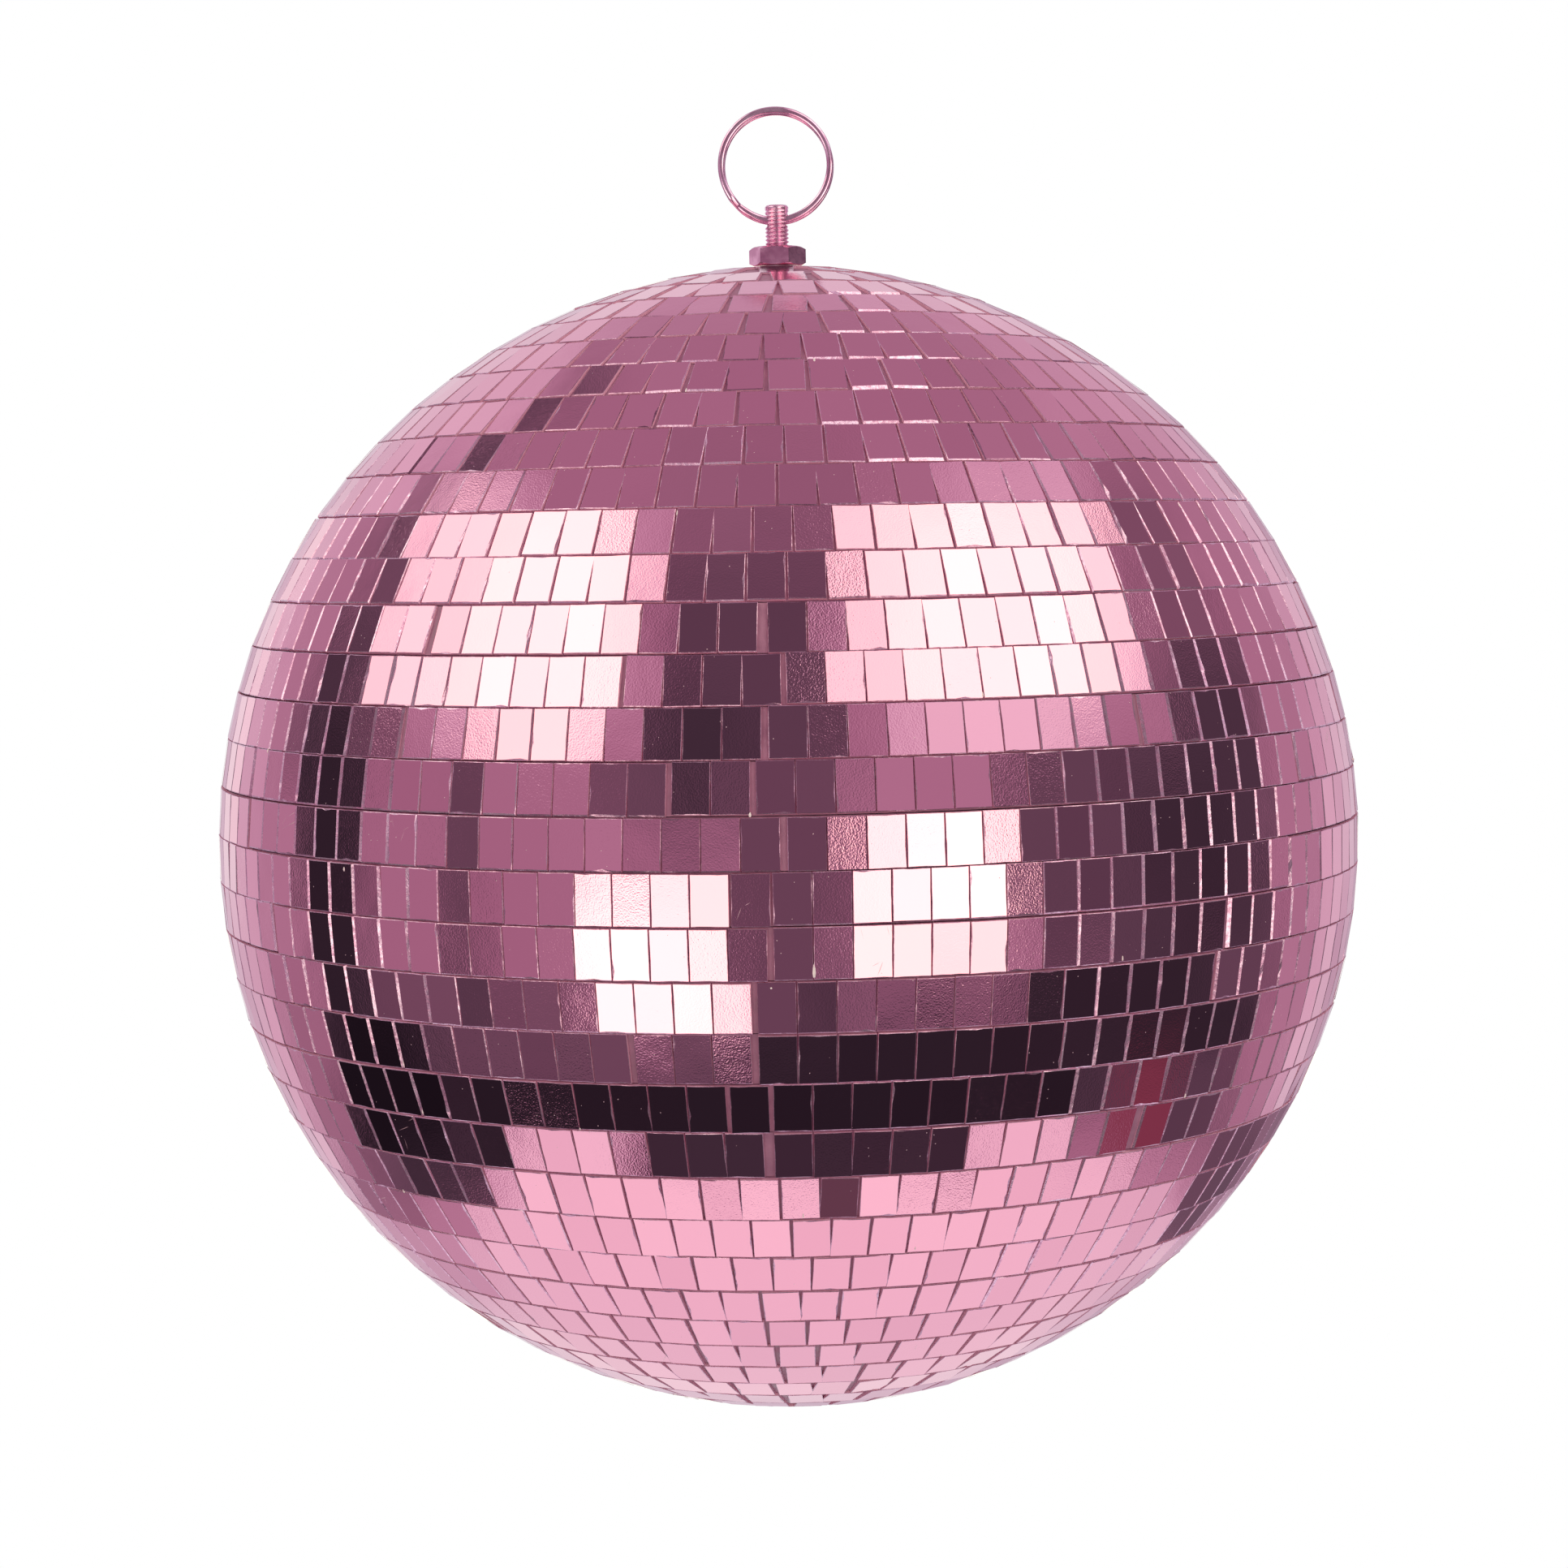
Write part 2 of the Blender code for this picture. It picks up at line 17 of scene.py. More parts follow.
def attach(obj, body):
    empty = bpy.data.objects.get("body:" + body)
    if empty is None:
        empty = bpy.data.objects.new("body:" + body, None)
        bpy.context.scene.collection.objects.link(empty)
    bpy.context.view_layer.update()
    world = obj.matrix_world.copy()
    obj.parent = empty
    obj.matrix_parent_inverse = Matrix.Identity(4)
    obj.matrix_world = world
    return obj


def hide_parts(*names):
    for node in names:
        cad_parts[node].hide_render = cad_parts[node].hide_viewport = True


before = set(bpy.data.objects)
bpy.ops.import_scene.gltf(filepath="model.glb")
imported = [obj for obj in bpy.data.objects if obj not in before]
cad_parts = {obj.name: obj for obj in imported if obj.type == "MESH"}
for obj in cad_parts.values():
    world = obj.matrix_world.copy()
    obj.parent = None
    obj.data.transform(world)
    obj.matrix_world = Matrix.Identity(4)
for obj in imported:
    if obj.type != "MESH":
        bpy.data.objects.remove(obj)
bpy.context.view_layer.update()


MM = 0.001
BALL_R = 150.0              # to the mirror faces
BALL_Z = -166.5             # ball's centre
ROW_PITCH = 4.74            # latitude from one row of tiles to the next
LAST_ROW = 18               # rows run from -18 to 18, row 0 on the equator
TILE_W, TILE_H = 8.74, 12.06
TILE_GAP = 0.12
TILE_T = 1.7                # glass thickness
ROW_HALF = 2.28             # latitude from the middle of a row to a tile's end
STRIP_HALF = 2.33           # the same for the backing strip
CROWN_LIFT = 0.5            # the top row stands this proud, building up over four rows
HOLE_Z = 162.45             # stud's cross hole, above the ball's centre
RING_R = 14.25              # split ring, to the middle of the wire
TINT = (0.93, 0.42, 0.58)   # colour of the mirror glass

CAMERA_ELEVATION = 5.3      # seen from the ball's centre
CAMERA_DISTANCE = 5.92 * BALL_R
CAMERA_ROLL = 1.1
VIEW = math.radians(CAMERA_ELEVATION)
TO_CAMERA = (0, -math.cos(VIEW), math.sin(VIEW))

scene = bpy.context.scene


def add_object(name, data):
    ob = bpy.data.objects.new(name, data)
    scene.collection.objects.link(ob)
    return ob


def clamp(value, low, high):
    return min(max(value, low), high)


# ------------------------------------------------------------------ node helpers
class Shader:
    """Short calls for building a node tree; values may be numbers, tuples or output sockets."""

    def __init__(self, tree):
        self.nodes = tree.nodes
        self.links = tree.links

    def new(self, kind, **settings):
        node = self.nodes.new(kind)
        for key, value in settings.items():
            setattr(node, key, value)
        return node

    def put(self, socket, value):
        if isinstance(value, bpy.types.NodeSocket):
            self.links.new(value, socket)
        else:
            socket.default_value = value

    def set(self, name, value):
        """Fill an input of the material's surface."""
        self.put(self.nodes["Principled BSDF"].inputs[name], value)

    def math(self, operation, first, second=None):
        node = self.new("ShaderNodeMath", operation=operation)
        self.put(node.inputs[0], first)
        if second is not None:
            self.put(node.inputs[1], second)
        return node.outputs[0]

    def vector_math(self, operation, first, second=None, scale=None):
        node = self.new("ShaderNodeVectorMath", operation=operation)
        self.put(node.inputs[0], first)
        if second is not None:
            self.put(node.inputs[1], second)
        if scale is not None:
            node.inputs["Scale"].default_value = scale
        return node.outputs["Value" if operation == "DOT_PRODUCT" else "Vector"]

    def degrees(self, angle):
        return self.math("MULTIPLY", angle, 180 / math.pi)

    def smooth(self, value, low, high, start=0.0, end=1.0, kind="SMOOTHSTEP"):
        """Go from start to end while value goes from low to high."""
        node = self.new("ShaderNodeMapRange", interpolation_type=kind, clamp=True)
        self.put(node.inputs["Value"], value)
        node.inputs["From Min"].default_value = low
        node.inputs["From Max"].default_value = high
        node.inputs["To Min"].default_value = start
        node.inputs["To Max"].default_value = end
        return node.outputs[0]

    def mix(self, factor, first, second):
        node = self.new("ShaderNodeMix", data_type="RGBA")
        self.put(node.inputs["Factor"], factor)
        for socket, colour in ((node.inputs[6], first), (node.inputs[7], second)):
            if isinstance(colour, tuple):
                colour = (*colour, 1.0)
            self.put(socket, colour)
        return node.outputs[2]

    def ramp(self, factor, stops):
        """Colour ramp through stops of (position, rgb)."""
        node = self.new("ShaderNodeValToRGB")
        self.put(node.inputs[0], factor)
        elements = node.color_ramp.elements
        for element, (position, colour) in zip(elements, (stops[0], stops[-1])):
            element.position = position
            element.color = (*colour, 1)
        for position, colour in stops[1:-1]:
            elements.new(position).color = (*colour, 1)
        return node.outputs[0]

    def object_coords(self):
        return self.new("ShaderNodeTexCoord").outputs["Object"]

    def noise(self, coords, scale, detail, roughness):
        node = self.new("ShaderNodeTexNoise")
        self.put(node.inputs["Vector"], coords)
        node.inputs["Scale"].default_value = scale
        node.inputs["Detail"].default_value = detail
        node.inputs["Roughness"].default_value = roughness
        return node.outputs["Fac"]

    def attribute(self, name):
        return self.new("ShaderNodeAttribute", attribute_name=name).outputs["Fac"]

    def bump(self, height, strength, distance, normal=None):
        node = self.new("ShaderNodeBump")
        self.put(node.inputs["Height"], height)
        self.put(node.inputs["Strength"], strength)
        node.inputs["Distance"].default_value = distance
        if normal is not None:
            self.put(node.inputs["Normal"], normal)
        return node.outputs[0]


def new_material(name):
    material = bpy.data.materials.new(name)
    material.use_nodes = True
    return material, Shader(material.node_tree)


# ------------------------------------------------------------------ the studio
# The room is drawn in levels: the tone, 0 to 255, that the pink mirror shows. (green, red, blue)
TONES = [
    (0, 6, 5), (20, 32, 29), (50, 80, 67), (92, 159, 122), (130, 202, 162),
    (172, 238, 197), (205, 246, 219), (240, 252, 241), (255, 255, 252),
]
LIGHT_LEVELS = (0, 8, 16, 24, 34, 44, 54, 66, 80, 94, 108, 122, 136, 150, 164, 176, 188, 200, 212,
                224, 236, 246, 255)

# (angle from the camera's direction to the half direction, level)
ROOM_STOPS = [(54, 97), (60.5, 99), (65, 112), (68.7, 138), (73, 154), (77, 166), (82, 176),
              (86, 184), (89, 192)]
FLOOR_STOPS = [(40, 178), (62, 165), (70, 167), (75, 170), (80, 179), (85, 188), (89, 202)]

# Panels placed by the part of the ball that mirrors them to the camera; later ones cover earlier.
# (level, azimuth from, to, latitude from, to, softness across, softness up, opacity, shear)
FRONT_PANELS = [
    # left wall and right wall above the belt
    (152, -62, -37, 44, 66, 6, 4, 0.9, 0.25), (150, -62, -50, 35, 50, 3, 3, 0.8, 0),
    (128, 38, 62, 42, 60, 6, 4, 0.8, -0.25), (62, -34, -27, 48, 55, 2.5, 3, 0.75, 0),
    # the pale floor darkens out to the sides and meets dark furniture
    (119, -62, -42, -47, -28, 4, 3, 0.88, 0), (150, 41, 60, -50, -28, 4, 3, 0.85, 0),
    (84, -60, -44, -35.5, -26, 2.5, 2, 0.9, -0.5),
    (58, 48, 63, -40.5, -25, 2.5, 1.8, 0.95, 0.55),
    (60, -51, -41, -31, -26, 2, 1.4, 0.85, 0), (100, -44, -38, -35.5, -31.5, 1.5, 1.2, 0.8, 0),
    (96, 37.5, 49, -31, -25.5, 2, 1.2, 0.8, 0),
    # middle belt and its ends
    (104, -60, 60, -26, 30, 3, 0.9, 1, 0), (86, -60, -50, -30, -10, 3, 6, 0.8, 0),
    (139, -70, -60, -30, 44, 2.5, 6, 0.9, 0), (110, -82, -69, -24, 30, 2.5, 8, 0.8, 0),
    (146, 60.5, 68, -28, 16, 2.5, 6, 0.9, 0), (123, 60, 69, 15, 50, 2.5, 7, 0.85, 0),
    (104, 67.5, 80, -26, 40, 2.5, 6, 0.85, 0),
    # dark leaning column beside the left softbox
    (60, -51, -45, 9, 40, 2.2, 3, 0.9, -0.32), (42, -43.5, -38, 32, 52, 2, 2.5, 0.85, -0.85),
    (28, -51, -38.4, -13, 17, 1.4, 3, 1, 0), (44, -50.5, -42.5, 15, 24, 1.6, 3, 0.9, 0),
    (15, -50, -33, -26, -11, 2.2, 1.6, 1, -0.25),
    # right dark column
    (74, 37.5, 49, 14, 38, 1.6, 3, 1, 0), (46, 38, 50, -11, 20, 2.4, 3, 1, 0),
    # centre column between the softboxes
    (86, -14, 8, 30, 44, 3, 3, 1, 0), (56, -12, 6, 8, 31, 2.4, 6, 1, 0),
    (36, -12, -4, 6, 17, 2, 3, 0.9, 0), (62, -4.6, 4.5, -14, 11, 1.6, 2, 1, 0),
    # left middle wall
    (96, -42, -19, -8.5, 12.5, 2, 1.4, 1, 0), (66, -42, -15, -12.5, -7.5, 2.4, 1.4, 0.95, 0),
    (48, -31.2, -28, -16, 12, 0.7, 2, 0.75, 0), (60, -18, -9, 7, 12, 2, 1.5, 0.85, 0),
    # dark room right of the middle, with one patch on the left
    (58, 19, 39, -1, 12.5, 2, 2, 1, 0), (78, -44, -36, 11, 17, 2, 1.2, 0.7, 0),
    (33, 32, 44, -13, 9, 3, 2, 0.85, 0), (30, 3, 50, -16, -7.2, 3, 1.2, 1, 0),
    (68, 41, 52, -13, -6, 2.5, 2, 0.75, 0), (46, 22, 37, -6.5, 0, 2, 1.5, 0.8, 0),
    (84, 4.5, 20, -11, -7, 1.5, 1.2, 0.9, 0),
    # black band over the lower middle, with small lit patches
    (62, -36, -5, -16.5, -11.5, 3, 1.2, 0.95, 0), (24, -34, 46, -26, -15.4, 2.5, 1, 1, 0),
    (26, -6, 24, -17, -11.2, 2.5, 1, 0.9, 0), (58, 28, 50, -27, -17.5, 3, 1.2, 0.9, 0),
    (42, -15, 18, -27, -21.5, 2, 0.8, 0.75, 0), (172, -27.5, -18.2, -27, -21.3, 1, 0.7, 1, 0),
    (172, 18.2, 28.5, -27, -21.3, 1, 0.7, 1, 0), (112, 28, 35, -27.5, -21.5, 2, 1, 0.8, 0),
    (36, -46, -32, -31, -24, 2.5, 2.2, 0.95, -0.4),
    # softboxes
    (196, -44.5, -30, 30, 38.2, 1.5, 1, 0.9, -0.10), (146, 18, 37, 33, 39.2, 2, 1.2, 0.9, 0),
    (209, -43.5, -14, 16.2, 35.4, 1.5, 0.9, 1, -0.10),
    (246, -32, -15, 14, 34.5, 5.5, 1.8, 1, -0.06),
    (84, -17.5, -9, 31.2, 37, 1.2, 1, 0.65, 0), (84, 3, 9.6, 31.2, 37, 1.2, 1, 0.7, 0),
    (228, -29.5, -18.5, 10.8, 16.8, 2, 1.2, 1, 0),
    (208, 4.6, 36, 16.4, 35.4, 1.3, 0.9, 1, -0.16), (247, 11, 31, 15.6, 34, 5, 2.2, 1, -0.05),
    (172, 9.5, 27, 11.6, 17.5, 2.5, 1.4, 0.95, 0),
    # windows
    (236, 5.4, 19.4, -7.6, 6.6, 0.8, 0.7, 1, 0), (252, 7.5, 19, -3.8, 6.2, 1.8, 1.2, 1, 0),
    (240, -18.2, -5.2, -11.6, 1.2, 0.8, 0.8, 1, 0),
    (236, -14.2, -5.2, -13.3, -10, 0.8, 0.8, 1, 0),
    (253, -17.6, -8.5, -11.2, 0.2, 1.2, 1.2, 1, 0),
]
# the last dark panel, low on the right; it covers part of the room behind the ball too
LOW_RIGHT_PANEL = (60, 52, 76, -36.5, -25.5, 2.5, 1.8, 0.8, 0)

# Behind the ball, by plain direction; azimuth here is 0 straight back at +Y and 90 at +X.
# (level, azimuth from, to, elevation from, to, softness across, softness up, opacity)
BACK_PANELS = [
    (196, -38, -24, -8, 16, 2, 4, 0.6), (126, -23, -17, -30, 14, 2, 6, 0.5),
    (166, 22, 36, -8, 16, 2, 4, 0.6), (112, 14, 20, -34, 14, 2, 6, 0.5),
]


def linear(value):
    """sRGB value, 0 to 255, as linear light."""
    value /= 255.0
    return value / 12.92 if value <= 0.04045 else ((value + 0.055) / 1.055) ** 2.4


def tone(level):
    """Light that the pink mirror turns into a tone of this level."""
    for (g0, r0, b0), (g1, r1, b1) in zip(TONES, TONES[1:]):
        if level <= g1:
            part = (level - g0) / (g1 - g0)
            red, blue = r0 + part * (r1 - r0), b0 + part * (b1 - b0)
            break
    red, green, blue = (linear(v) / tint for v, tint in zip((red, level, blue), TINT))
    if level > 172:             # keep the brightest light close to neutral
        red = max(red, green * 0.97)
        blue = max(blue, green * 0.74)
    return red, green, blue


def half_direction(azimuth, latitude):
    """(azimuth, latitude) halfway between the camera's direction and the ray that a mirror at
    this place on the ball sends out."""
    to_camera = Vector(TO_CAMERA)
    a, f = math.radians(azimuth), math.radians(latitude)
    normal = Vector((math.cos(f) * math.sin(a), -math.cos(f) * math.cos(a), math.sin(f)))
    sight = (to_camera * (CAMERA_DISTANCE / BALL_R) - normal).normalized()
    ray = normal * (2 * normal.dot(sight)) - sight
    half = (ray + to_camera).normalized()
    return math.degrees(math.atan2(half.x, -half.y)), math.degrees(math.asin(half.z))


class Studio(Shader):
    """The world's nodes, which work out a level for every direction."""

    def __init__(self, tree):
        super().__init__(tree)
        self.nodes.clear()
        incoming = self.new("ShaderNodeNewGeometry").outputs["Incoming"]
        self.direction = self.vector_math("SCALE", incoming, scale=-1.0)
        total = self.vector_math("ADD", self.direction, TO_CAMERA)
        self.half = self.vector_math("NORMALIZE", total)
        x, y, z = self.separate(self.half)
        self.azimuth = self.degrees(self.math("ARCTAN2", x, self.math("MULTIPLY", y, -1.0)))
        self.latitude = self.degrees(self.math("ARCSINE", z))

    def separate(self, vector):
        node = self.new("ShaderNodeSeparateXYZ")
        self.put(node.inputs[0], vector)
        return node.outputs

    def toward(self, mask, start, level):
        """The start level moved towards another, a number or a socket, by the mask."""
        node = self.new("ShaderNodeMix", data_type="FLOAT")
        self.put(node.inputs[0], mask)
        self.put(node.inputs[2], start)
        is_socket = isinstance(level, bpy.types.NodeSocket)
        self.put(node.inputs[3], level if is_socket else level / 255.0)
        return node.outputs[0]

    def band(self, value, low, high, soft, inside=1.0):
        """Mask that is up between low and high and fades out over the soft edges."""
        distance = self.math("ABSOLUTE", self.math("SUBTRACT", value, (low + high) / 2))
        half = (high - low) / 2
        return self.smooth(distance, half - soft, half + soft, inside, 0.0)

    def window(self, az0, az1, lat0, lat1, soft_az, soft_lat, opacity, shear):
        """Mask over what the camera sees mirrored in the tiles of this part of the ball."""
        az_mid, lat_mid = (az0 + az1) / 2, (lat0 + lat1) / 2
        left, right = half_direction(az0, lat_mid)[0], half_direction(az1, lat_mid)[0]
        low, high = half_direction(az_mid, lat0)[1], half_direction(az_mid, lat1)[1]
        across = self.azimuth
        if shear:
            rise = self.math("SUBTRACT", self.latitude, (low + high) / 2)
            across = self.math("ADD", across, self.math("MULTIPLY", rise, shear))
        return self.math("MULTIPLY", self.band(across, left, right, soft_az, inside=opacity),
                         self.band(self.latitude, low, high, soft_lat))

    def front_panel(self, start, level, *window):
        return self.toward(self.window(*window), start, level)

    def front_room(self):
        """Grey where the camera stands, paling all round, over a pale floor."""
        cosine = self.vector_math("DOT_PRODUCT", self.half, TO_CAMERA)
        angle = self.degrees(self.math("ARCCOSINE", cosine))
        room, floor = (
            self.ramp(self.math("DIVIDE", angle, 90.0),
                      [(at / 90, (level / 255,) * 3) for at, level in stops])
            for stops in (ROOM_STOPS, FLOOR_STOPS))
        level = self.toward(self.smooth(self.latitude, -28.6, -26.6), floor, room)
        for panel in FRONT_PANELS:
            level = self.front_panel(level, *panel)
        return level

    def with_back_room(self, front):
        """The front room joined to the room behind the ball, with its softboxes and flags."""
        x, y, z = self.separate(self.direction)
        azimuth = self.degrees(self.math("ARCTAN2", x, y))
        elevation = self.degrees(self.math("ARCSINE", z))
        facing = self.vector_math("DOT_PRODUCT", self.direction, TO_CAMERA)
        # left and right halves, a paler ceiling, and a bright spot opposite the camera
        back = self.smooth(azimuth, -6, 6, start=142 / 255, end=122 / 255)
        back = self.toward(self.smooth(elevation, 14, 34), back, 178)
        back = self.toward(self.smooth(facing, -0.988, -0.965, 1.0, 0.0), back, 230)
        level = self.toward(self.smooth(facing, -0.95, -0.86), back, front)
        level = self.front_panel(level, *LOW_RIGHT_PANEL)
        for shade, az0, az1, el0, el1, soft_az, soft_el, opacity in BACK_PANELS:
            mask = self.smooth(azimuth, az0 - soft_az, az0 + soft_az)
            for value, edge, soft, start, end in ((azimuth, az1, soft_az, 1.0, 0.0),
                                                  (elevation, el0, soft_el, 0.0, 1.0),
                                                  (elevation, el1, soft_el, 1.0, 0.0)):
                fade = self.smooth(value, edge - soft, edge + soft, start, end)
                mask = self.math("MULTIPLY", mask, fade)
            level = self.toward(self.math("MULTIPLY", mask, opacity), level, shade)
        return level


def build_world():
    world = bpy.data.worlds.new("studio")
    scene.world = world
    world.use_nodes = True
    studio = Studio(world.node_tree)
    level = studio.with_back_room(studio.front_room())
    # one ramp turns levels into light, so that soft edges keep the same pink as the panels
    light = studio.ramp(level, [(step / 255, tone(step)) for step in LIGHT_LEVELS])
    cloth = studio.window(33, 39, -26, -16, soft_az=1.5, soft_lat=2, opacity=0.9, shear=0)
    dark_red = (0.24, 0.075, 0.11)
    light = studio.mix(cloth, light, dark_red)

    # the camera itself sees plain white
    room = studio.new("ShaderNodeBackground")
    studio.put(room.inputs["Color"], light)
    white = studio.new("ShaderNodeBackground")
    white.inputs["Color"].default_value = (1, 1, 1, 1)
    path = studio.new("ShaderNodeLightPath")
    mix = studio.new("ShaderNodeMixShader")
    studio.put(mix.inputs[0], path.outputs["Is Camera Ray"])
    studio.put(mix.inputs[1], room.outputs[0])
    studio.put(mix.inputs[2], white.outputs[0])
    output = studio.new("ShaderNodeOutputWorld")
    studio.put(output.inputs[0], mix.outputs[0])
    world.cycles.sampling_method = "MANUAL"
    world.cycles.sample_map_resolution = 512


def set_view():
    scene.view_settings.view_transform = "Standard"
    scene.view_settings.look = "None"
    scene.view_settings.exposure = 0.0
    scene.view_settings.gamma = 1.0


# ------------------------------------------------------------------ materials
def dust_specks(shader, coords):
    """Mask of a few small specks, kept to scattered areas."""
    cells = shader.new("ShaderNodeTexVoronoi", feature="F1")
    shader.put(cells.inputs["Vector"], coords)
    cells.inputs["Scale"].default_value = 420.0
    speck = shader.smooth(cells.outputs["Distance"], 0.035, 0.06, 1.0, 0.0)
    area = shader.noise(coords, scale=90.0, detail=0.0, roughness=0.5)
    return shader.math("MULTIPLY", speck, shader.math("GREATER_THAN", area, 0.56))


def hair_scratches(shader, coords):
    """Mask of three sets of fine lines, each a stretched noise turned about Y."""
    lines = None
    for scale_x, scale_z, turn in ((2600.0, 90.0, 0.22), (2300.0, 120.0, -0.38),
                                   (150.0, 2300.0, 0.5)):
        lean = shader.new("ShaderNodeMapping")
        shader.put(lean.inputs["Vector"], coords)
        lean.inputs["Rotation"].default_value = (0, turn, 0)
        stretch = shader.new("ShaderNodeMapping")
        shader.put(stretch.inputs["Vector"], lean.outputs[0])
        stretch.inputs["Scale"].default_value = (scale_x, 60.0, scale_z)
        grain = shader.noise(stretch.outputs[0], scale=1.0, detail=1.0, roughness=0.4)
        line = shader.smooth(grain, 0.74, 0.79, 0.0, 0.6)
        lines = line if lines is None else shader.math("MAXIMUM", lines, line)
    return lines


def mirror_face_material():
    """Pink mirror glass: a grain that differs from tile to tile, dust, tiles darkened almost to
    black, scratches.
    """
    material, shader = new_material("mirror_face")
    coords = shader.object_coords()
    grain_amount = shader.attribute("tile_grain")
    wear = shader.attribute("tile_wear")

    grain = shader.noise(coords, scale=2500.0, detail=1.0, roughness=0.5)
    wave = shader.noise(coords, scale=420.0, detail=0.0, roughness=0.4)
    sag = shader.noise(coords, scale=110.0, detail=0.0, roughness=0.4)
    normal = shader.bump(sag, strength=1.0, distance=0.00003)
    for height, distance in ((grain, 0.000015), (wave, 0.000006)):
        strength = shader.math("MULTIPLY", grain_amount, 1.0)
        normal = shader.bump(height, strength, distance, normal)
    shader.set("Normal", normal)

    dark = (TINT[0] * 0.93, TINT[1] * 0.90, TINT[2] * 0.92)
    light = (TINT[0] * 1.04, TINT[1] * 1.07, TINT[2] * 1.05)
    colour = shader.mix(shader.attribute("tile_rand"), dark, light)
    darkening = shader.smooth(wear, 0.90, 1.0, 0.0, 0.96, kind="LINEAR")
    colour = shader.mix(darkening, colour, (0.085, 0.022, 0.045))

    scuffed = shader.math("MULTIPLY", shader.math("GREATER_THAN", wear, 0.45),
                          shader.math("LESS_THAN", wear, 0.9))
    scratches = shader.math("MULTIPLY", hair_scratches(shader, coords), scuffed)
    mark = shader.math("MAXIMUM", dust_specks(shader, coords), scratches)
    shader.set("Base Color", shader.mix(mark, colour, (0.86, 0.56, 0.67)))
    # marks are less metallic and rougher than the clean mirror
    shader.set("Metallic", shader.math("SUBTRACT", 1.0, shader.math("MULTIPLY", mark, 0.9)))
    clean = shader.math("ADD", 0.03, shader.math("MULTIPLY", grain_amount, 0.035))
    shader.set("Roughness", shader.math("ADD", clean, shader.math("MULTIPLY", mark, 0.4)))
    return material


def glass_edge_material():
    """Ground edges of the tiles: pink lines broken by chips, each tile's edges painted between a
    shaded dark pink and a lit bright pink.
    """
    material, shader = new_material("glass_edge")
    coords = shader.object_coords()
    chips = shader.noise(coords, scale=1100.0, detail=3.0, roughness=0.65)
    broad = shader.noise(coords, scale=80.0, detail=1.0, roughness=0.5)
    total = shader.math("ADD", shader.math("MULTIPLY", chips, 0.7),
                        shader.math("MULTIPLY", broad, 0.4))
    factor = shader.smooth(total, 0.44, 0.64)
    bright = shader.attribute("tile_edge_tone_and_light")
    # painted highlight and shade: the edge value takes these colours from a shaded dark pink to a
    # lit bright pink
    low = shader.mix(bright, (0.16, 0.045, 0.10), (0.77, 0.36, 0.60))
    high = shader.mix(bright, (0.42, 0.17, 0.31), (0.98, 0.62, 0.88))
    shader.set("Base Color", shader.mix(factor, low, high))
    shader.set("Metallic", 0.66)
    shader.set("Roughness", shader.smooth(chips, 0.3, 0.7, 0.34, 0.14))
    shader.set("Normal", shader.bump(chips, strength=0.9, distance=0.00007))
    return material


def grained_material(name, scale, detail, grain, colours, roughness, bump, metallic=0.0):
    """One noise mixes the two colours and raises the surface; grain is the noise's roughness.
    Roughness is one value or a range that follows the noise; bump is (strength, distance)."""
    material, shader = new_material(name)
    noise = shader.noise(shader.object_coords(), scale, detail, grain)
    shader.set("Base Color", shader.mix(noise, *colours))
    shader.set("Metallic", metallic)
    if isinstance(roughness, tuple):
        roughness = shader.smooth(noise, 0.3, 0.7, *roughness)
    shader.set("Roughness", roughness)
    shader.set("Normal", shader.bump(noise, *bump))
    return material


def glass_side_material():
    """Broken glass down the side of a tile, seen in the open joints; its pink is painted pale,
    standing for light carried in through the glass from its face.
    """
    return grained_material("glass_side_painted_light", scale=600.0, detail=2.0, grain=0.6,
                            colours=((0.70, 0.30, 0.46), (0.98, 0.55, 0.74)),
                            roughness=0.35, bump=(0.5, 0.0001))


def backing_material():
    # painted shade: colours far darker than the pale backing cloth, so that the joints between
    # tiles read as shaded dark lines
    return grained_material("adhesive_backing_painted_shade", scale=220.0, detail=3.0, grain=0.6,
                            colours=((0.27, 0.09, 0.18), (0.56, 0.24, 0.39)),
                            roughness=(0.35, 0.7), bump=(0.8, 0.0002))


def glue_material():
    return grained_material("glue_bead", scale=400.0, detail=2.0, grain=0.5,
                            colours=((1.0, 0.72, 0.80), (1.0, 0.86, 0.90)),
                            roughness=0.22, bump=(0.3, 0.0001))


def core_material():
    return grained_material("core_shell", scale=60.0, detail=4.0, grain=0.6,
                            colours=((0.10, 0.035, 0.06), (0.20, 0.075, 0.12)),
                            roughness=(0.5, 0.8), bump=(0.4, 0.0006))


def zinc_material():
    return grained_material("zinc_plating", scale=420.0, detail=4.0, grain=0.6,
                            colours=((0.42, 0.42, 0.45), (0.68, 0.68, 0.70)),
                            roughness=(0.28, 0.45), bump=(0.3, 0.0001), metallic=1.0)


def nylon_material():
    return grained_material("nylon_moulding", scale=300.0, detail=3.0, grain=0.6,
                            colours=((0.70, 0.68, 0.62), (0.84, 0.82, 0.76)),
                            roughness=0.5, bump=(0.3, 0.0001))


def plated_material(name, low, high, metallic, roughness, uneven=1.0):
    """Bright pink plating between two colours; uneven scales the bumps."""
    material, shader = new_material(name)
    coords = shader.object_coords()
    fine = shader.noise(coords, scale=1400.0, detail=3.0, roughness=0.6)
    broad = shader.noise(coords, scale=190.0, detail=3.0, roughness=0.55)
    shader.set("Base Color", shader.mix(shader.smooth(broad, 0.35, 0.65), low, high))
    shader.set("Metallic", metallic)
    shader.set("Roughness", shader.smooth(broad, 0.3, 0.7, *roughness))
    normal = shader.bump(fine, strength=0.15 * uneven, distance=0.00001)
    normal = shader.bump(broad, strength=0.3 * uneven, distance=0.00006, normal=normal)
    shader.set("Normal", normal)
    return material


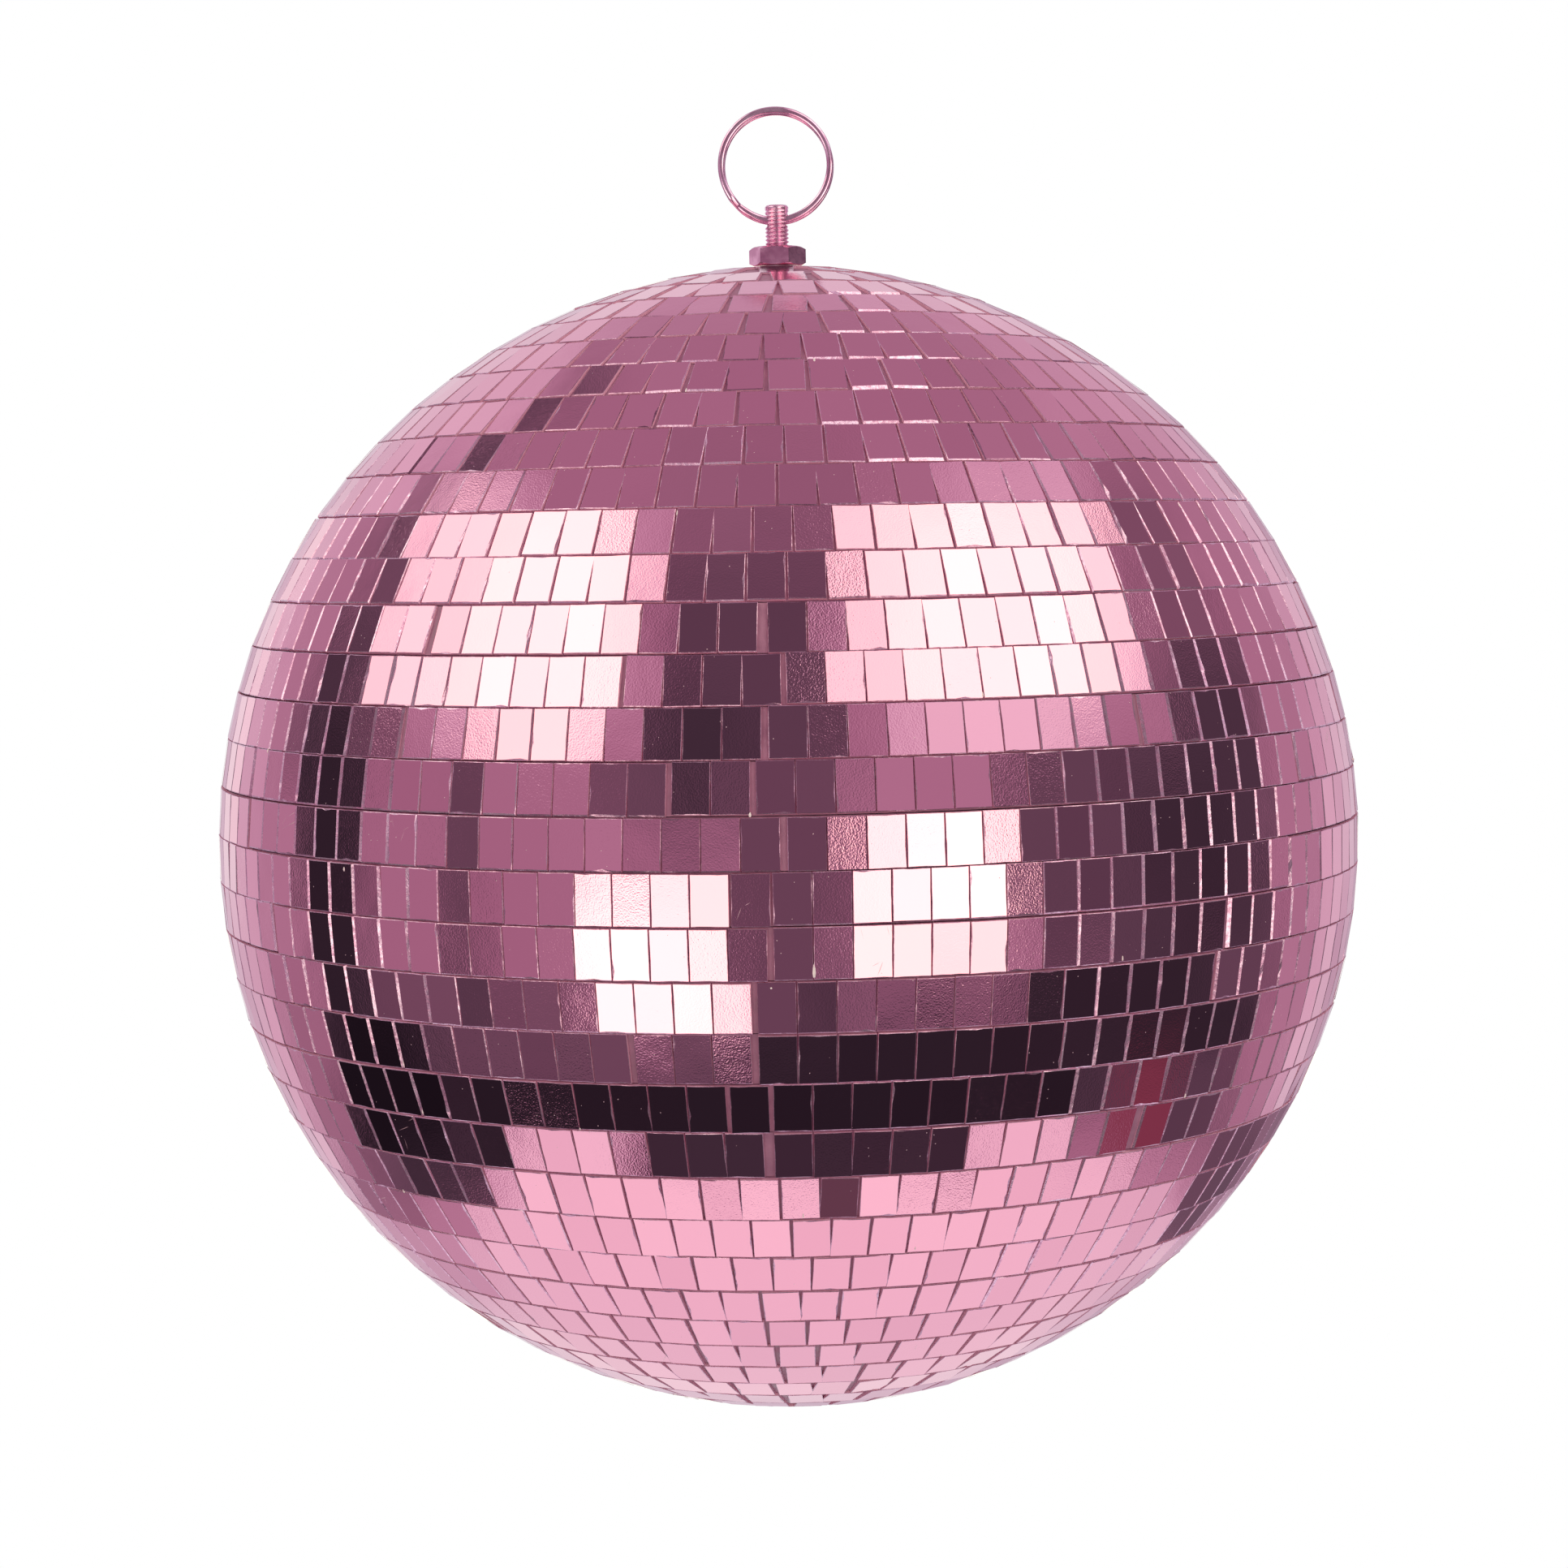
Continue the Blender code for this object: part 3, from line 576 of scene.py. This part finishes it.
# ------------------------------------------------------------------ mirror rows
# distance from the ball's front meridian to a joint between two tiles, by row
JOINT = {
    -10: -7.2, -9: -8.5, -8: -5.7, -7: -1.1, -6: -3.5, -5: -4.7, -4: -4.7, -3: -7.8, -2: -7.8,
    -1: -3.9, 0: -3.9, 1: -0.4, 2: -7.2, 3: -4.2, 4: 0.0, 5: -3.9, 6: -8.5, 7: -6.8, 8: -1.1,
    9: -8.5, 10: -0.7, 11: -3.1, 12: -4.0, 13: -8.8, 14: -2.6,
}
# span of x where the upper tiles show a broad ground edge along the bottom, by row
BROAD_EDGE = {15: (8, 26), 14: (14, 28), 13: (6, 32), 12: (6, 29), 11: (12, 37), 10: (12, 39),
              9: (18, 35)}
# single tiles that stand out: row -> (azimuth, wear)
# wear over 0.9 darkens the tile almost to black, 0.45 to 0.9 makes it a scuffed one
MARKED = {-6: (5.6, 1.0), -1: (-2.0, 0.6), 0: (-3.0, 0.6)}
POLE_COUNTS = {17: 11, 18: 7}       # tiles in the two rows nearest each pole
EVEN_PITCH = TILE_W + 0.21          # tile pitch near the equator, where the joints are even
SIDE_JOINT = 24                     # azimuth beyond which the belt's tiles stand open

FACE, EDGE, SIDE, BACKING, GLUE = range(5)      # material slots of a row
FACE_ATTRIBUTES = ("tile_rand", "tile_grain", "tile_wear", "tile_edge_tone_and_light")


def row_radius(row):
    return BALL_R + CROWN_LIFT * max(row - 14, 0) / 4


def row_spacing(row):
    """Number of tiles in the row, their mean pitch and their width."""
    latitude = math.radians(row * ROW_PITCH)
    around = 2 * math.pi * BALL_R * math.cos(latitude)
    narrow_end = abs(latitude) + math.radians(ROW_HALF)
    # tiles must not meet at the end nearer the pole, where the row is shortest
    need = (TILE_W + TILE_GAP) * math.cos(latitude) / math.cos(narrow_end)
    count = POLE_COUNTS.get(abs(row), int(around / max(8.95, need)))
    pitch = around / count
    if abs(row) == LAST_ROW:
        return count, pitch, 5.4
    room = pitch * math.cos(narrow_end) / math.cos(latitude) - TILE_GAP
    return count, pitch, min(TILE_W, room)


def strip_lengths(row, count):
    """Runs of tiles laid as one strip, with a joint between runs."""
    rng = random.Random(900 + (row // 2 if row <= 0 else row))
    strips, left = [], count
    while left > 0:
        length = rng.randint(9, 24) if abs(row) < 12 else rng.randint(3, 9)
        length = min(length, left)
        strips.append(length)
        left -= length
    return strips


def chamfer_widths(row, x, azimuth, low_edge, look):
    """Widths of a tile's south, east, north and west chamfers."""
    south = low_edge + look.uniform(-0.04, 0.05)
    if row in BROAD_EDGE and abs(azimuth) < 90:
        left, right = BROAD_EDGE[row]
        if left < x < right:
            south = look.uniform(0.66, 0.96)
        elif row < 15 and -30 < x < -12 and look.random() < 0.3:
            south = look.uniform(0.40, 0.60)
    east, north, west = look.uniform(0.10, 0.17), look.uniform(0.11, 0.17), look.uniform(0.10, 0.17)
    if abs(row) <= 8 and abs(azimuth) <= SIDE_JOINT:
        east, north, west = east * 0.7, north * 0.8, west * 0.7
    # round the sides the edge nearer the camera stands open to view
    if abs(row) <= 9 and SIDE_JOINT < abs(azimuth) < 72:
        wide = azimuth > 0 or azimuth < -36
        near = look.uniform(0.24, 0.46) if wide else look.uniform(0.14, 0.26)
        if look.random() < 0.12:
            near += 0.15
        if abs(row) <= 4 and (azimuth < -37 or azimuth > 27) and abs(azimuth) < 62:
            near += look.uniform(0.16, 0.36)
        if azimuth > 0:
            west = near
        else:
            east = near
    return south, east, north, west


def edge_tone_and_painted_light(row, azimuth, south, look):
    """Brightness of a tile's ground edges, 0 to 1: partly random tone, partly painted highlight and
    shade by place on the ball.
    """
    edge_tone_and_light = look.uniform(0.15, 0.65)
    if row >= 9:
        # painted highlight: the broad lower edges of the upper rows are coloured as if catching a
        # light from above
        if south > 0.4:
            return look.uniform(0.75, 1.0)
        return look.uniform(0.0, 0.35) if look.random() < 0.65 else look.uniform(0.4, 0.8)
    if abs(row) <= 9 and abs(azimuth) > SIDE_JOINT:
        # painted light: side joints right of the front and far left are coloured lit, the others
        # may be shaded
        bright = azimuth > 0 or azimuth < -36
        return look.uniform(0.6, 1.0) if bright else look.uniform(0.35, 1.0)
    if row < -9:
        return look.uniform(0.1, 0.6)
    return edge_tone_and_light


def tile_wear(row, azimuth, look):
    wear = look.random() * 0.4
    if look.random() < 0.012:
        wear = look.uniform(0.5, 0.85)
    elif look.random() < 0.004 and abs(azimuth) > 80:
        wear = 0.96
    if row in MARKED:
        at, value = MARKED[row]
        if abs(azimuth - at) * math.cos(math.radians(row * ROW_PITCH)) < 1.6:
            wear = value
    return wear


def row_tiles(row):
    """Yield every tile of the row, with angles in radians. One generator lays the tiles and
    the other draws their looks."""
    rng = random.Random(7100 + row)
    look = random.Random(5300 + row)
    latitude = math.radians(row * ROW_PITCH)
    count, pitch, width = row_spacing(row)
    strips = strip_lengths(row, count)
    even = EVEN_PITCH if abs(row) < 6 else pitch
    # what the even pitch leaves over is shared among the strip ends
    slack = (pitch - even) * count / len(strips)
    random_joint = rng.uniform(-8, 0)       # drawn for every row, used where none is listed
    start = JOINT.get(row, random_joint)
    pair_turn = 0.46 * (pitch * math.tan(abs(latitude)) / BALL_R)
    pole = 1.0 if row >= 0 else -1.0
    rise_limit = 0.1 if row == -LAST_ROW else 0.2
    for length in strips:
        strip_rise = rng.uniform(-0.20, 0.20)
        strip_slope = rng.uniform(-0.0035, 0.0035)
        strip_tilt_e = math.radians(rng.gauss(0, 0.10))
        strip_tilt_n = math.radians(rng.gauss(0, 0.28))
        wide = look.random() < 0.3
        low_edge = look.uniform(0.26, 0.40) if wide else look.uniform(0.13, 0.19)
        k = 0
        while k < length:
            pair = k + 1 < length and abs(row) >= 4 and rng.random() < 0.42
            members = 2 if pair else 1
            for q in range(members):
                centre = start + even * (k + q + 0.5)
                turn = rng.gauss(0, 0.0035)
                if pair:
                    # the two lean together: their shared joint closes and the outer ones open
                    side = 1.0 if q == 0 else -1.0
                    turn += -side * pair_turn * pole
                    centre += side * min((even - width - TILE_GAP) * 0.44, 0.9)
                tilt_e = strip_tilt_e + math.radians(rng.gauss(0, 0.30))
                tilt_n = strip_tilt_n + math.radians(rng.gauss(0, 0.34))
                if rng.random() < (0.05 if abs(row) < 9 else 0.09):
                    tilt_e += math.radians(rng.gauss(0, 1.1))
                    tilt_n += math.radians(rng.gauss(0, 1.0))
                azimuth = centre / (BALL_R * math.cos(latitude))
                if row == 17 and abs(math.degrees(azimuth)) < 20:
                    tilt_n -= 0.055
                half_w = width / 2 - abs(rng.gauss(0, 0.02))
                half_h = TILE_H / 2 - abs(rng.gauss(0, 0.035))
                rise = strip_rise + strip_slope * (centre - start - even * length / 2)
                rise = clamp(rise + rng.gauss(0, 0.03), -rise_limit, rise_limit)
                if row == LAST_ROW:         # shorter tiles, set lower
                    half_h = 5.25
                    rise = -0.70
                degrees = (math.degrees(azimuth) + 180) % 360 - 180
                x = BALL_R * math.cos(latitude) * math.sin(azimuth)
                widths = chamfer_widths(row, x, degrees, low_edge, look)
                south_lean = 0.5
                if widths[0] > 0.5 and row >= 9:
                    south_lean = clamp(math.tan(latitude - math.radians(27)), 0.3, 1.3)
                edge_tone_and_light = edge_tone_and_painted_light(row, degrees, widths[0], look)
                wear = tile_wear(row, degrees, look)
                shade = rng.random()
                grain = 0.45 + 1.1 * rng.random() ** 2.2
                yield SimpleNamespace(
                    azimuth=azimuth, latitude=latitude + rise / BALL_R, turn=turn,
                    tilt_e=tilt_e, tilt_n=tilt_n, half_w=half_w, half_h=half_h,
                    widths=widths, south_lean=south_lean, looks=(shade, grain, wear, edge_tone_and_light))
            k += members
        start += even * length + slack


class RowMesh:
    """Collects the vertices of one row's plates and glue beads, and its faces with their
    materials and looks."""

    def __init__(self, row):
        self.row = row
        self.radius = row_radius(row)
        self.rng = random.Random(4000 + row)
        self.verts, self.faces, self.slots, self.looks = [], [], [], []

    def add_points(self, points):
        self.verts += [(p.x * MM, p.y * MM, (p.z + BALL_Z) * MM) for p in points]

    def add_face(self, face, slot, tile):
        self.faces.append(face)
        self.slots.append(slot)
        self.looks.append(tile.looks)

    def place(self, tile):
        """The tile's centre and its own east, north and outward directions."""
        az, lat = tile.azimuth, tile.latitude
        out = Vector((math.cos(lat) * math.sin(az), -math.cos(lat) * math.cos(az), math.sin(lat)))
        east = Vector((math.cos(az), math.sin(az), 0))
        north = out.cross(east)
        turn = Matrix.Rotation(tile.turn, 3, out)
        east, north = turn @ east, turn @ north
        normal = (out + east * tile.tilt_e + north * tile.tilt_n).normalized()
        east = (east - normal * east.dot(normal)).normalized()
        # sunk so that the flat face keeps near the sphere
        sink = (tile.half_w * tile.half_w + tile.half_h * tile.half_h) / (2 * BALL_R) * 0.85
        return out * (self.radius - sink), east, normal.cross(east), normal

    def outlines(self, tile):
        """Nibbled rims of the flat face and of the chamfers' foot, as (x, y, height)."""
        rng = self.rng
        w, h = tile.half_w, tile.half_h
        south, east, north, west = tile.widths
        x0, x1, y0, y1 = -w + west, w - east, -h + south, h - north
        east_lean, west_lean = (0.78 if width > 0.42 else 0.5 for width in (east, west))
        # chamfer drop per width, by side
        leans = (tile.south_lean, east_lean, 0.5, west_lean)
        # inner start and end, outer start and end, inward direction, chamfer width,
        # width of the chamfer before, points
        sides = (
            ((x0, y0), (x1, y0), (-w, -h), (w, -h), (0, 1), south, west, 4),
            ((x1, y0), (x1, y1), (w, -h), (w, h), (-1, 0), east, south, 5),
            ((x1, y1), (x0, y1), (w, h), (-w, h), (0, -1), north, east, 4),
            ((x0, y1), (x0, y0), (-w, h), (-w, -h), (1, 0), west, north, 5),
        )
        inner, outer = [], []
        for side, (p0, p1, q0, q1, inward, width, before, steps) in enumerate(sides):
            for k in range(steps):
                part = k / steps + (rng.uniform(-0.06, 0.06) if k else 0)
                nib = rng.random() ** 2 * 0.10 if k else 0.0
                if k and rng.random() < 0.05:
                    nib += rng.uniform(0.15, 0.40)
                cut = rng.random() ** 2 * 0.05 if k else 0.03
                drop = leans[side] * width
                if k == 0:
                    drop = max(drop, leans[side - 1] * before)
                for rim, start, end, bite, height in ((inner, p0, p1, nib, 0.0),
                                                      (outer, q0, q1, cut, -drop)):
                    x, y = (a + (b - a) * part + d * bite for a, b, d in zip(start, end, inward))
                    rim.append((x, y, height))
        return inner, outer

    def add_plate(self, tile, centre, east, north, normal):
        """A flat face, four chamfers, broken glass below, and a back."""
        inner, outer = self.outlines(tile)
        foot = [(x * 0.995, y * 0.995, -TILE_T) for x, y, _ in outer]
        base, count = len(self.verts), len(inner)
        self.add_points(centre + east * x + north * y + normal * height
                        for x, y, height in inner + outer + foot)
        self.add_face(tuple(range(base, base + count)), FACE, tile)
        for level, slot in enumerate((EDGE, SIDE)):
            upper = base + level * count
            lower = upper + count
            for k in range(count):
                j = (k + 1) % count
                self.add_face((upper + k, lower + k, lower + j, upper + j), slot, tile)
        back = tuple(range(base + 3 * count - 1, base + 2 * count - 1, -1))
        self.add_face(back, BACKING, tile)

    def choose_beads(self, tile, centre, east, north, normal):
        """Places and sizes of the glue beads in this tile's joints; most tiles have none."""
        rng = self.rng
        w, h = tile.half_w, tile.half_h
        beads = []
        if rng.random() < 0.022:
            x = rng.choice((-w, w, rng.uniform(-w, w) * 0.8))
            y_end = rng.choice((-h, h))
            at = centre + east * x + north * y_end * rng.uniform(0.75, 1.0)
            half_w, half_h = rng.uniform(0.16, 0.34), rng.uniform(0.25, 0.95)
            beads.append((tile, at, east, north, normal, half_w, half_h))
        # one large bead just right of the front meridian
        if self.row == -1 and abs(math.degrees(tile.azimuth) - 4.0) < 1.7:
            at = centre - east * w - north * (h - 2.0)
            beads.append((tile, at, east, north, normal, 0.42, 1.7))
        return beads

    def add_bead(self, tile, at, east, north, normal, half_w, half_h):
        """A drop of glue, fuller towards its lower end."""
        rings, segments = 5, 8
        half_depth = 0.30
        base = len(self.verts)
        at = at - normal * 0.15
        points = [at - north * half_h]
        for r in range(1, rings):
            down = math.pi * r / rings
            fullness = 1.0 + 0.35 * math.cos(down)
            for k in range(segments):
                around = 2 * math.pi * k / segments
                across = east * math.cos(around) * half_w + normal * math.sin(around) * half_depth
                points.append(at - north * half_h * math.cos(down)
                              + across * math.sin(down) * fullness)
        points.append(at + north * half_h)
        self.add_points(points)
        last = base + len(points) - 1
        for k in range(segments):
            j = (k + 1) % segments
            self.add_face((base, base + 1 + j, base + 1 + k), GLUE, tile)
            self.add_face((last, last - segments + k, last - segments + j), GLUE, tile)
            for r in range(rings - 2):
                a = base + 1 + r * segments
                self.add_face((a + k, a + j, a + segments + j, a + segments + k), GLUE, tile)

    def to_object(self, name, materials):
        mesh = bpy.data.meshes.new(name)
        mesh.from_pydata(self.verts, [], self.faces)
        for material in materials:
            mesh.materials.append(material)
        mesh.polygons.foreach_set("material_index", self.slots)
        for key, values in zip(FACE_ATTRIBUTES, zip(*self.looks)):
            mesh.attributes.new(key, "FLOAT", "FACE").data.foreach_set("value", values)
        mesh.update()
        return add_object(name, mesh)


def tile_row(name, row, materials):
    row_mesh = RowMesh(row)
    beads = []
    for tile in row_tiles(row):
        place = row_mesh.place(tile)
        row_mesh.add_plate(tile, *place)
        beads += row_mesh.choose_beads(tile, *place)
    for bead in beads:
        row_mesh.add_bead(*bead)
    return row_mesh.to_object(name, materials)


def add_backing_strip(ob, row):
    """The strip that a row's tiles are bedded in, joined into the same mesh."""
    latitude = math.radians(row * ROW_PITCH)
    low, high = latitude - math.radians(STRIP_HALF), latitude + math.radians(STRIP_HALF)
    if row == LAST_ROW:
        high = math.radians(87.1)
    outside, inside = row_radius(row) - 0.75, row_radius(row) - 2.4
    segments = 128
    bm = bmesh.new()
    bm.from_mesh(ob.data)
    layers = [bm.faces.layers.float.get(key) for key in FACE_ATTRIBUTES]
    rings = []
    for r, lat in ((outside, low), (outside, high), (inside, high), (inside, low)):
        ring = []
        for k in range(segments):
            az = 2 * math.pi * k / segments
            ring.append(bm.verts.new((r * math.cos(lat) * math.sin(az) * MM,
                                      -r * math.cos(lat) * math.cos(az) * MM,
                                      (r * math.sin(lat) + BALL_Z) * MM)))
        rings.append(ring)
    for a, b in zip(rings, rings[1:] + rings[:1]):
        for k in range(segments):
            j = (k + 1) % segments
            face = bm.faces.new((a[k], a[j], b[j], b[k]))
            face.material_index = BACKING
            for layer in layers:
                face[layer] = 0.4
    bm.to_mesh(ob.data)
    bm.free()


def set_material(node, material):
    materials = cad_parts[node].data.materials
    materials.clear()
    materials.append(material)


def build_rows():
    materials = [mirror_face_material(), glass_edge_material(), glass_side_material(),
                 backing_material(), glue_material()]
    for row in range(-LAST_ROW, LAST_ROW + 1):
        label = "00" if row == 0 else "%s%02d" % ("p" if row > 0 else "n", abs(row))
        ob = tile_row("tiles_" + label, row, materials)
        add_backing_strip(ob, row)
        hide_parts("mirror_row_" + label)
        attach(ob, "ball")
    set_material("mirror_cap_bottom", materials[FACE])


# ------------------------------------------------------------------ hanging hardware
def tube(name, loops, material):
    """Skin a list of equal loops of points, in metres, into one closed smooth surface."""
    verts = [point for loop in loops for point in loop]
    count = len(loops[0])
    faces = []
    for k in range(len(loops) - 1):
        for q in range(count):
            j = (q + 1) % count
            faces.append((k * count + q, k * count + j, (k + 1) * count + j, (k + 1) * count + q))
    faces.append(tuple(range(count - 1, -1, -1)))
    faces.append(tuple(range((len(loops) - 1) * count, len(loops) * count)))
    mesh = bpy.data.meshes.new(name)
    mesh.from_pydata(verts, [], faces)
    mesh.materials.append(material)
    mesh.update()
    bm = bmesh.new()
    bm.from_mesh(mesh)
    bmesh.ops.recalc_face_normals(bm, faces=bm.faces)
    bm.to_mesh(mesh)
    bm.free()
    for polygon in mesh.polygons:
        polygon.use_smooth = True
    return add_object(name, mesh)


def ring_stations(start, stop, cross_from, cross_to):
    """(angle, part of the way from the front coil to the back one) along the wire."""
    step = 2.5

    def evenly(first, end, part):
        return [(first + step * k, part) for k in range(math.ceil((end - first) / step))]

    width = cross_to - cross_from
    crossing = [(cross_from + width * k / 12, k / 12) for k in range(13)]
    return (evenly(start, cross_from, 0.0) + crossing
            + evenly(cross_to + step, stop - 1.0, 1.0) + [(stop, 1.0)])


def ring_wire(material):
    """The split ring's round-shouldered wire, wound twice, its coils a touch out of line."""
    half_w, half_t = 0.875, 0.675           # wire's section, radial and along Y
    coil_y = half_t + 0.11                  # coil's distance from the ring's middle plane
    cross_low, cross_high = 224.0 - 11.0, 224.0 + 11.0      # where the wire changes coils
    end_reach = 9.9 - 2.5                   # how far each end runs into that span
    start, stop = cross_high - end_reach, cross_low + 720.0 + end_reach
    shoulder = 0.72                         # under 1 squares the section off
    section = []
    for k in range(16):
        around = 2 * math.pi * (k + 0.5) / 16
        c, s = math.cos(around), math.sin(around)
        section.append((half_w * math.copysign(abs(c) ** shoulder, c),
                        half_t * math.copysign(abs(s) ** shoulder, s)))
    loops = []
    for degrees, part in ring_stations(start, stop, cross_low + 360.0, cross_high + 360.0):
        part = part * part * (3 - 2 * part)
        angle = math.radians(degrees)
        coil = -coil_y + 2 * coil_y * part
        shift_z, shift_x = 0.20 - 0.40 * part, -0.09 + 0.18 * part
        wobble = 0.03 * math.sin(3 * angle + 1.0)
        # both ends thin out over their last 6 degrees
        taper = 0.86 + 0.14 * min(min(degrees - start, stop - degrees) / 6.0, 1.0)
        loop = []
        for radial, across in section:
            r = RING_R + wobble + radial * taper
            loop.append(((shift_x + r * math.cos(angle)) * MM, (coil + across * taper) * MM,
                         (HOLE_Z + RING_R + BALL_Z + shift_z + r * math.sin(angle)) * MM))
        loops.append(loop)
    ob = tube("ring_wire", loops, material)
    ob.data.set_sharp_from_angle(angle=math.radians(50))
    return ob


def thread_loops():
    """Rings of points up the stud: a helical thread, shallower near the top, chamfered ends."""
    pitch, segments, rings_per_turn = 1.0, 48, 10
    bottom, top = 121.5, 166.5
    crest_r, depth, worn_depth = 3.08, 0.48, 0.24
    end_r = 2.68
    rings = int((top - bottom) / pitch * rings_per_turn)
    loops = []
    for k in range(rings + 1):
        z = bottom + (top - bottom) * k / rings
        worn = clamp((z - 157.5) / 5.0, 0.0, 1.0)
        # the thread runs out into plain rod at both ends
        run_out = clamp((top - 0.9 - z) / 0.5, 0.0, 1.0) * clamp((z - bottom - 0.8) / 0.5, 0.0, 1.0)
        end = min(top - z, z - bottom)
        loop = []
        for q in range(segments):
            around = 2 * math.pi * q / segments
            phase = (z / pitch - q / segments) % 1.0
            height = abs(2 * phase - 1)                 # 1 at the crest, 0 at the root
            profile = clamp((height - 0.10) / 0.72, 0.0, 1.0)
            r = crest_r - (depth - worn_depth * worn) * (1 - profile) * run_out
            if end < 0.45:
                r = min(r, end_r + end * 0.9)
            loop.append((r * math.cos(around) * MM, r * math.sin(around) * MM, (z + BALL_Z) * MM))
        loops.append(loop)
    return loops


def hole_cutter():
    """Cylinder along X for the cross hole, a hair off the stud's axis."""
    bm = bmesh.new()
    bmesh.ops.create_cone(bm, cap_ends=True, segments=40, radius1=1.95 * MM, radius2=1.95 * MM,
                          depth=12 * MM)
    bm.transform(Matrix.Rotation(math.pi / 2, 4, "Y"))
    bm.transform(Matrix.Translation(Vector((0.00001, 0.00002, (HOLE_Z + BALL_Z) * MM))))
    mesh = bpy.data.meshes.new("cross_hole")
    bm.to_mesh(mesh)
    bm.free()
    return add_object("cross_hole", mesh)


def threaded_stud(material):
    ob = tube("stud_thread", thread_loops(), material)
    cutter = hole_cutter()
    cut = ob.modifiers.new("cut", "BOOLEAN")
    cut.operation = "DIFFERENCE"
    cut.solver = "EXACT"
    cut.object = cutter
    bpy.context.view_layer.update()
    evaluated = ob.evaluated_get(bpy.context.evaluated_depsgraph_get())
    mesh = bpy.data.meshes.new_from_object(evaluated)
    ob.modifiers.clear()
    ob.data = mesh
    mesh.materials.clear()
    mesh.materials.append(material)
    for polygon in mesh.polygons:
        polygon.material_index = 0
        polygon.use_smooth = True
    mesh.set_sharp_from_angle(angle=math.radians(48))
    bpy.data.objects.remove(cutter, do_unlink=True)
    return ob


def build_hardware():
    stud_plating = plated_material("pink_plating", low=(0.79, 0.37, 0.58), high=(1.0, 0.58, 0.82),
                                   metallic=0.75, roughness=(0.12, 0.24))
    ring_plating = plated_material("ring_plating", low=(0.80, 0.39, 0.62), high=(1.0, 0.62, 0.86),
                                   metallic=0.78, roughness=(0.07, 0.12), uneven=0.3)
    nut_plating = plated_material("nut_plating", low=(0.66, 0.28, 0.45), high=(0.95, 0.50, 0.69),
                                  metallic=0.90, roughness=(0.06, 0.16))
    # painted light: the washer's plating is paler and less metallic than the rest, lifting the
    # shade it sits in under the nut
    washer_plating_painted_light = plated_material("washer_plating_painted_light", low=(0.86, 0.42, 0.60),
                                     high=(1.0, 0.62, 0.80), metallic=0.55, roughness=(0.10, 0.20))
    zinc, nylon, core = zinc_material(), nylon_material(), core_material()

    ring = ring_wire(ring_plating)
    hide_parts("split_ring")
    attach(ring, "ring")
    stud = threaded_stud(stud_plating)
    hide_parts("hanger_stud")
    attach(stud, "hanger")

    for material, nodes in (
        (nut_plating, ("lock_nut",)),
        (washer_plating_painted_light, ("crown_washer",)),
        (zinc, ("inner_nut", "jam_nut", "support_plate",
                "plate_screw_1", "plate_screw_2", "plate_screw_3")),
        (nylon, ("crown_bush", "thrust_washer")),
        (core, ("core_upper", "core_lower", "joint_band")),
    ):
        for node in nodes:
            set_material(node, material)

    soft_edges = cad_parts["lock_nut"].modifiers.new("soft_edges", "BEVEL")
    soft_edges.width = 0.3 * MM
    soft_edges.segments = 3
    soft_edges.limit_method = "ANGLE"
    soft_edges.angle_limit = math.radians(35)
    soft_edges.harden_normals = False


# ------------------------------------------------------------------ floor and camera
def build_floor():
    """A plain white disc far below the ball, which only the camera sees. Sizes in metres."""
    bm = bmesh.new()
    bmesh.ops.create_circle(bm, cap_ends=True, segments=64, radius=8.0)
    bm.transform(Matrix.Translation(Vector((0, 0, -2.2))))
    mesh = bpy.data.meshes.new("floor")
    bm.to_mesh(mesh)
    bm.free()
    material, shader = new_material("floor_white")
    shader.set("Base Color", (0.0, 0.0, 0.0, 1))
    shader.set("Specular IOR Level", 0.0)
    shader.set("Emission Color", (1, 1, 1, 1))
    shader.set("Emission Strength", 1.0)
    mesh.materials.append(material)
    ob = add_object("floor", mesh)
    for ray in ("diffuse", "glossy", "transmission", "volume_scatter", "shadow"):
        setattr(ob, "visible_" + ray, False)


def build_camera():
    data = bpy.data.cameras.new("camera")
    camera = add_object("camera", data)
    back = Vector(TO_CAMERA)
    right = Vector((1, 0, 0))
    axes = Matrix((right, back.cross(right), back)).transposed()
    place = Vector((0, 0, BALL_Z * MM)) + back * CAMERA_DISTANCE * MM
    roll = Matrix.Rotation(math.radians(-CAMERA_ROLL), 4, "Z")
    camera.matrix_world = Matrix.Translation(place) @ axes.to_4x4() @ roll
    data.sensor_width = 36.0
    data.lens = 76.32
    data.shift_x = -0.0029503106
    data.shift_y = 0.0337991718
    data.clip_start = 0.01
    data.clip_end = 20.0
    scene.camera = camera


build_world()
set_view()
build_rows()
build_hardware()
build_floor()
build_camera()
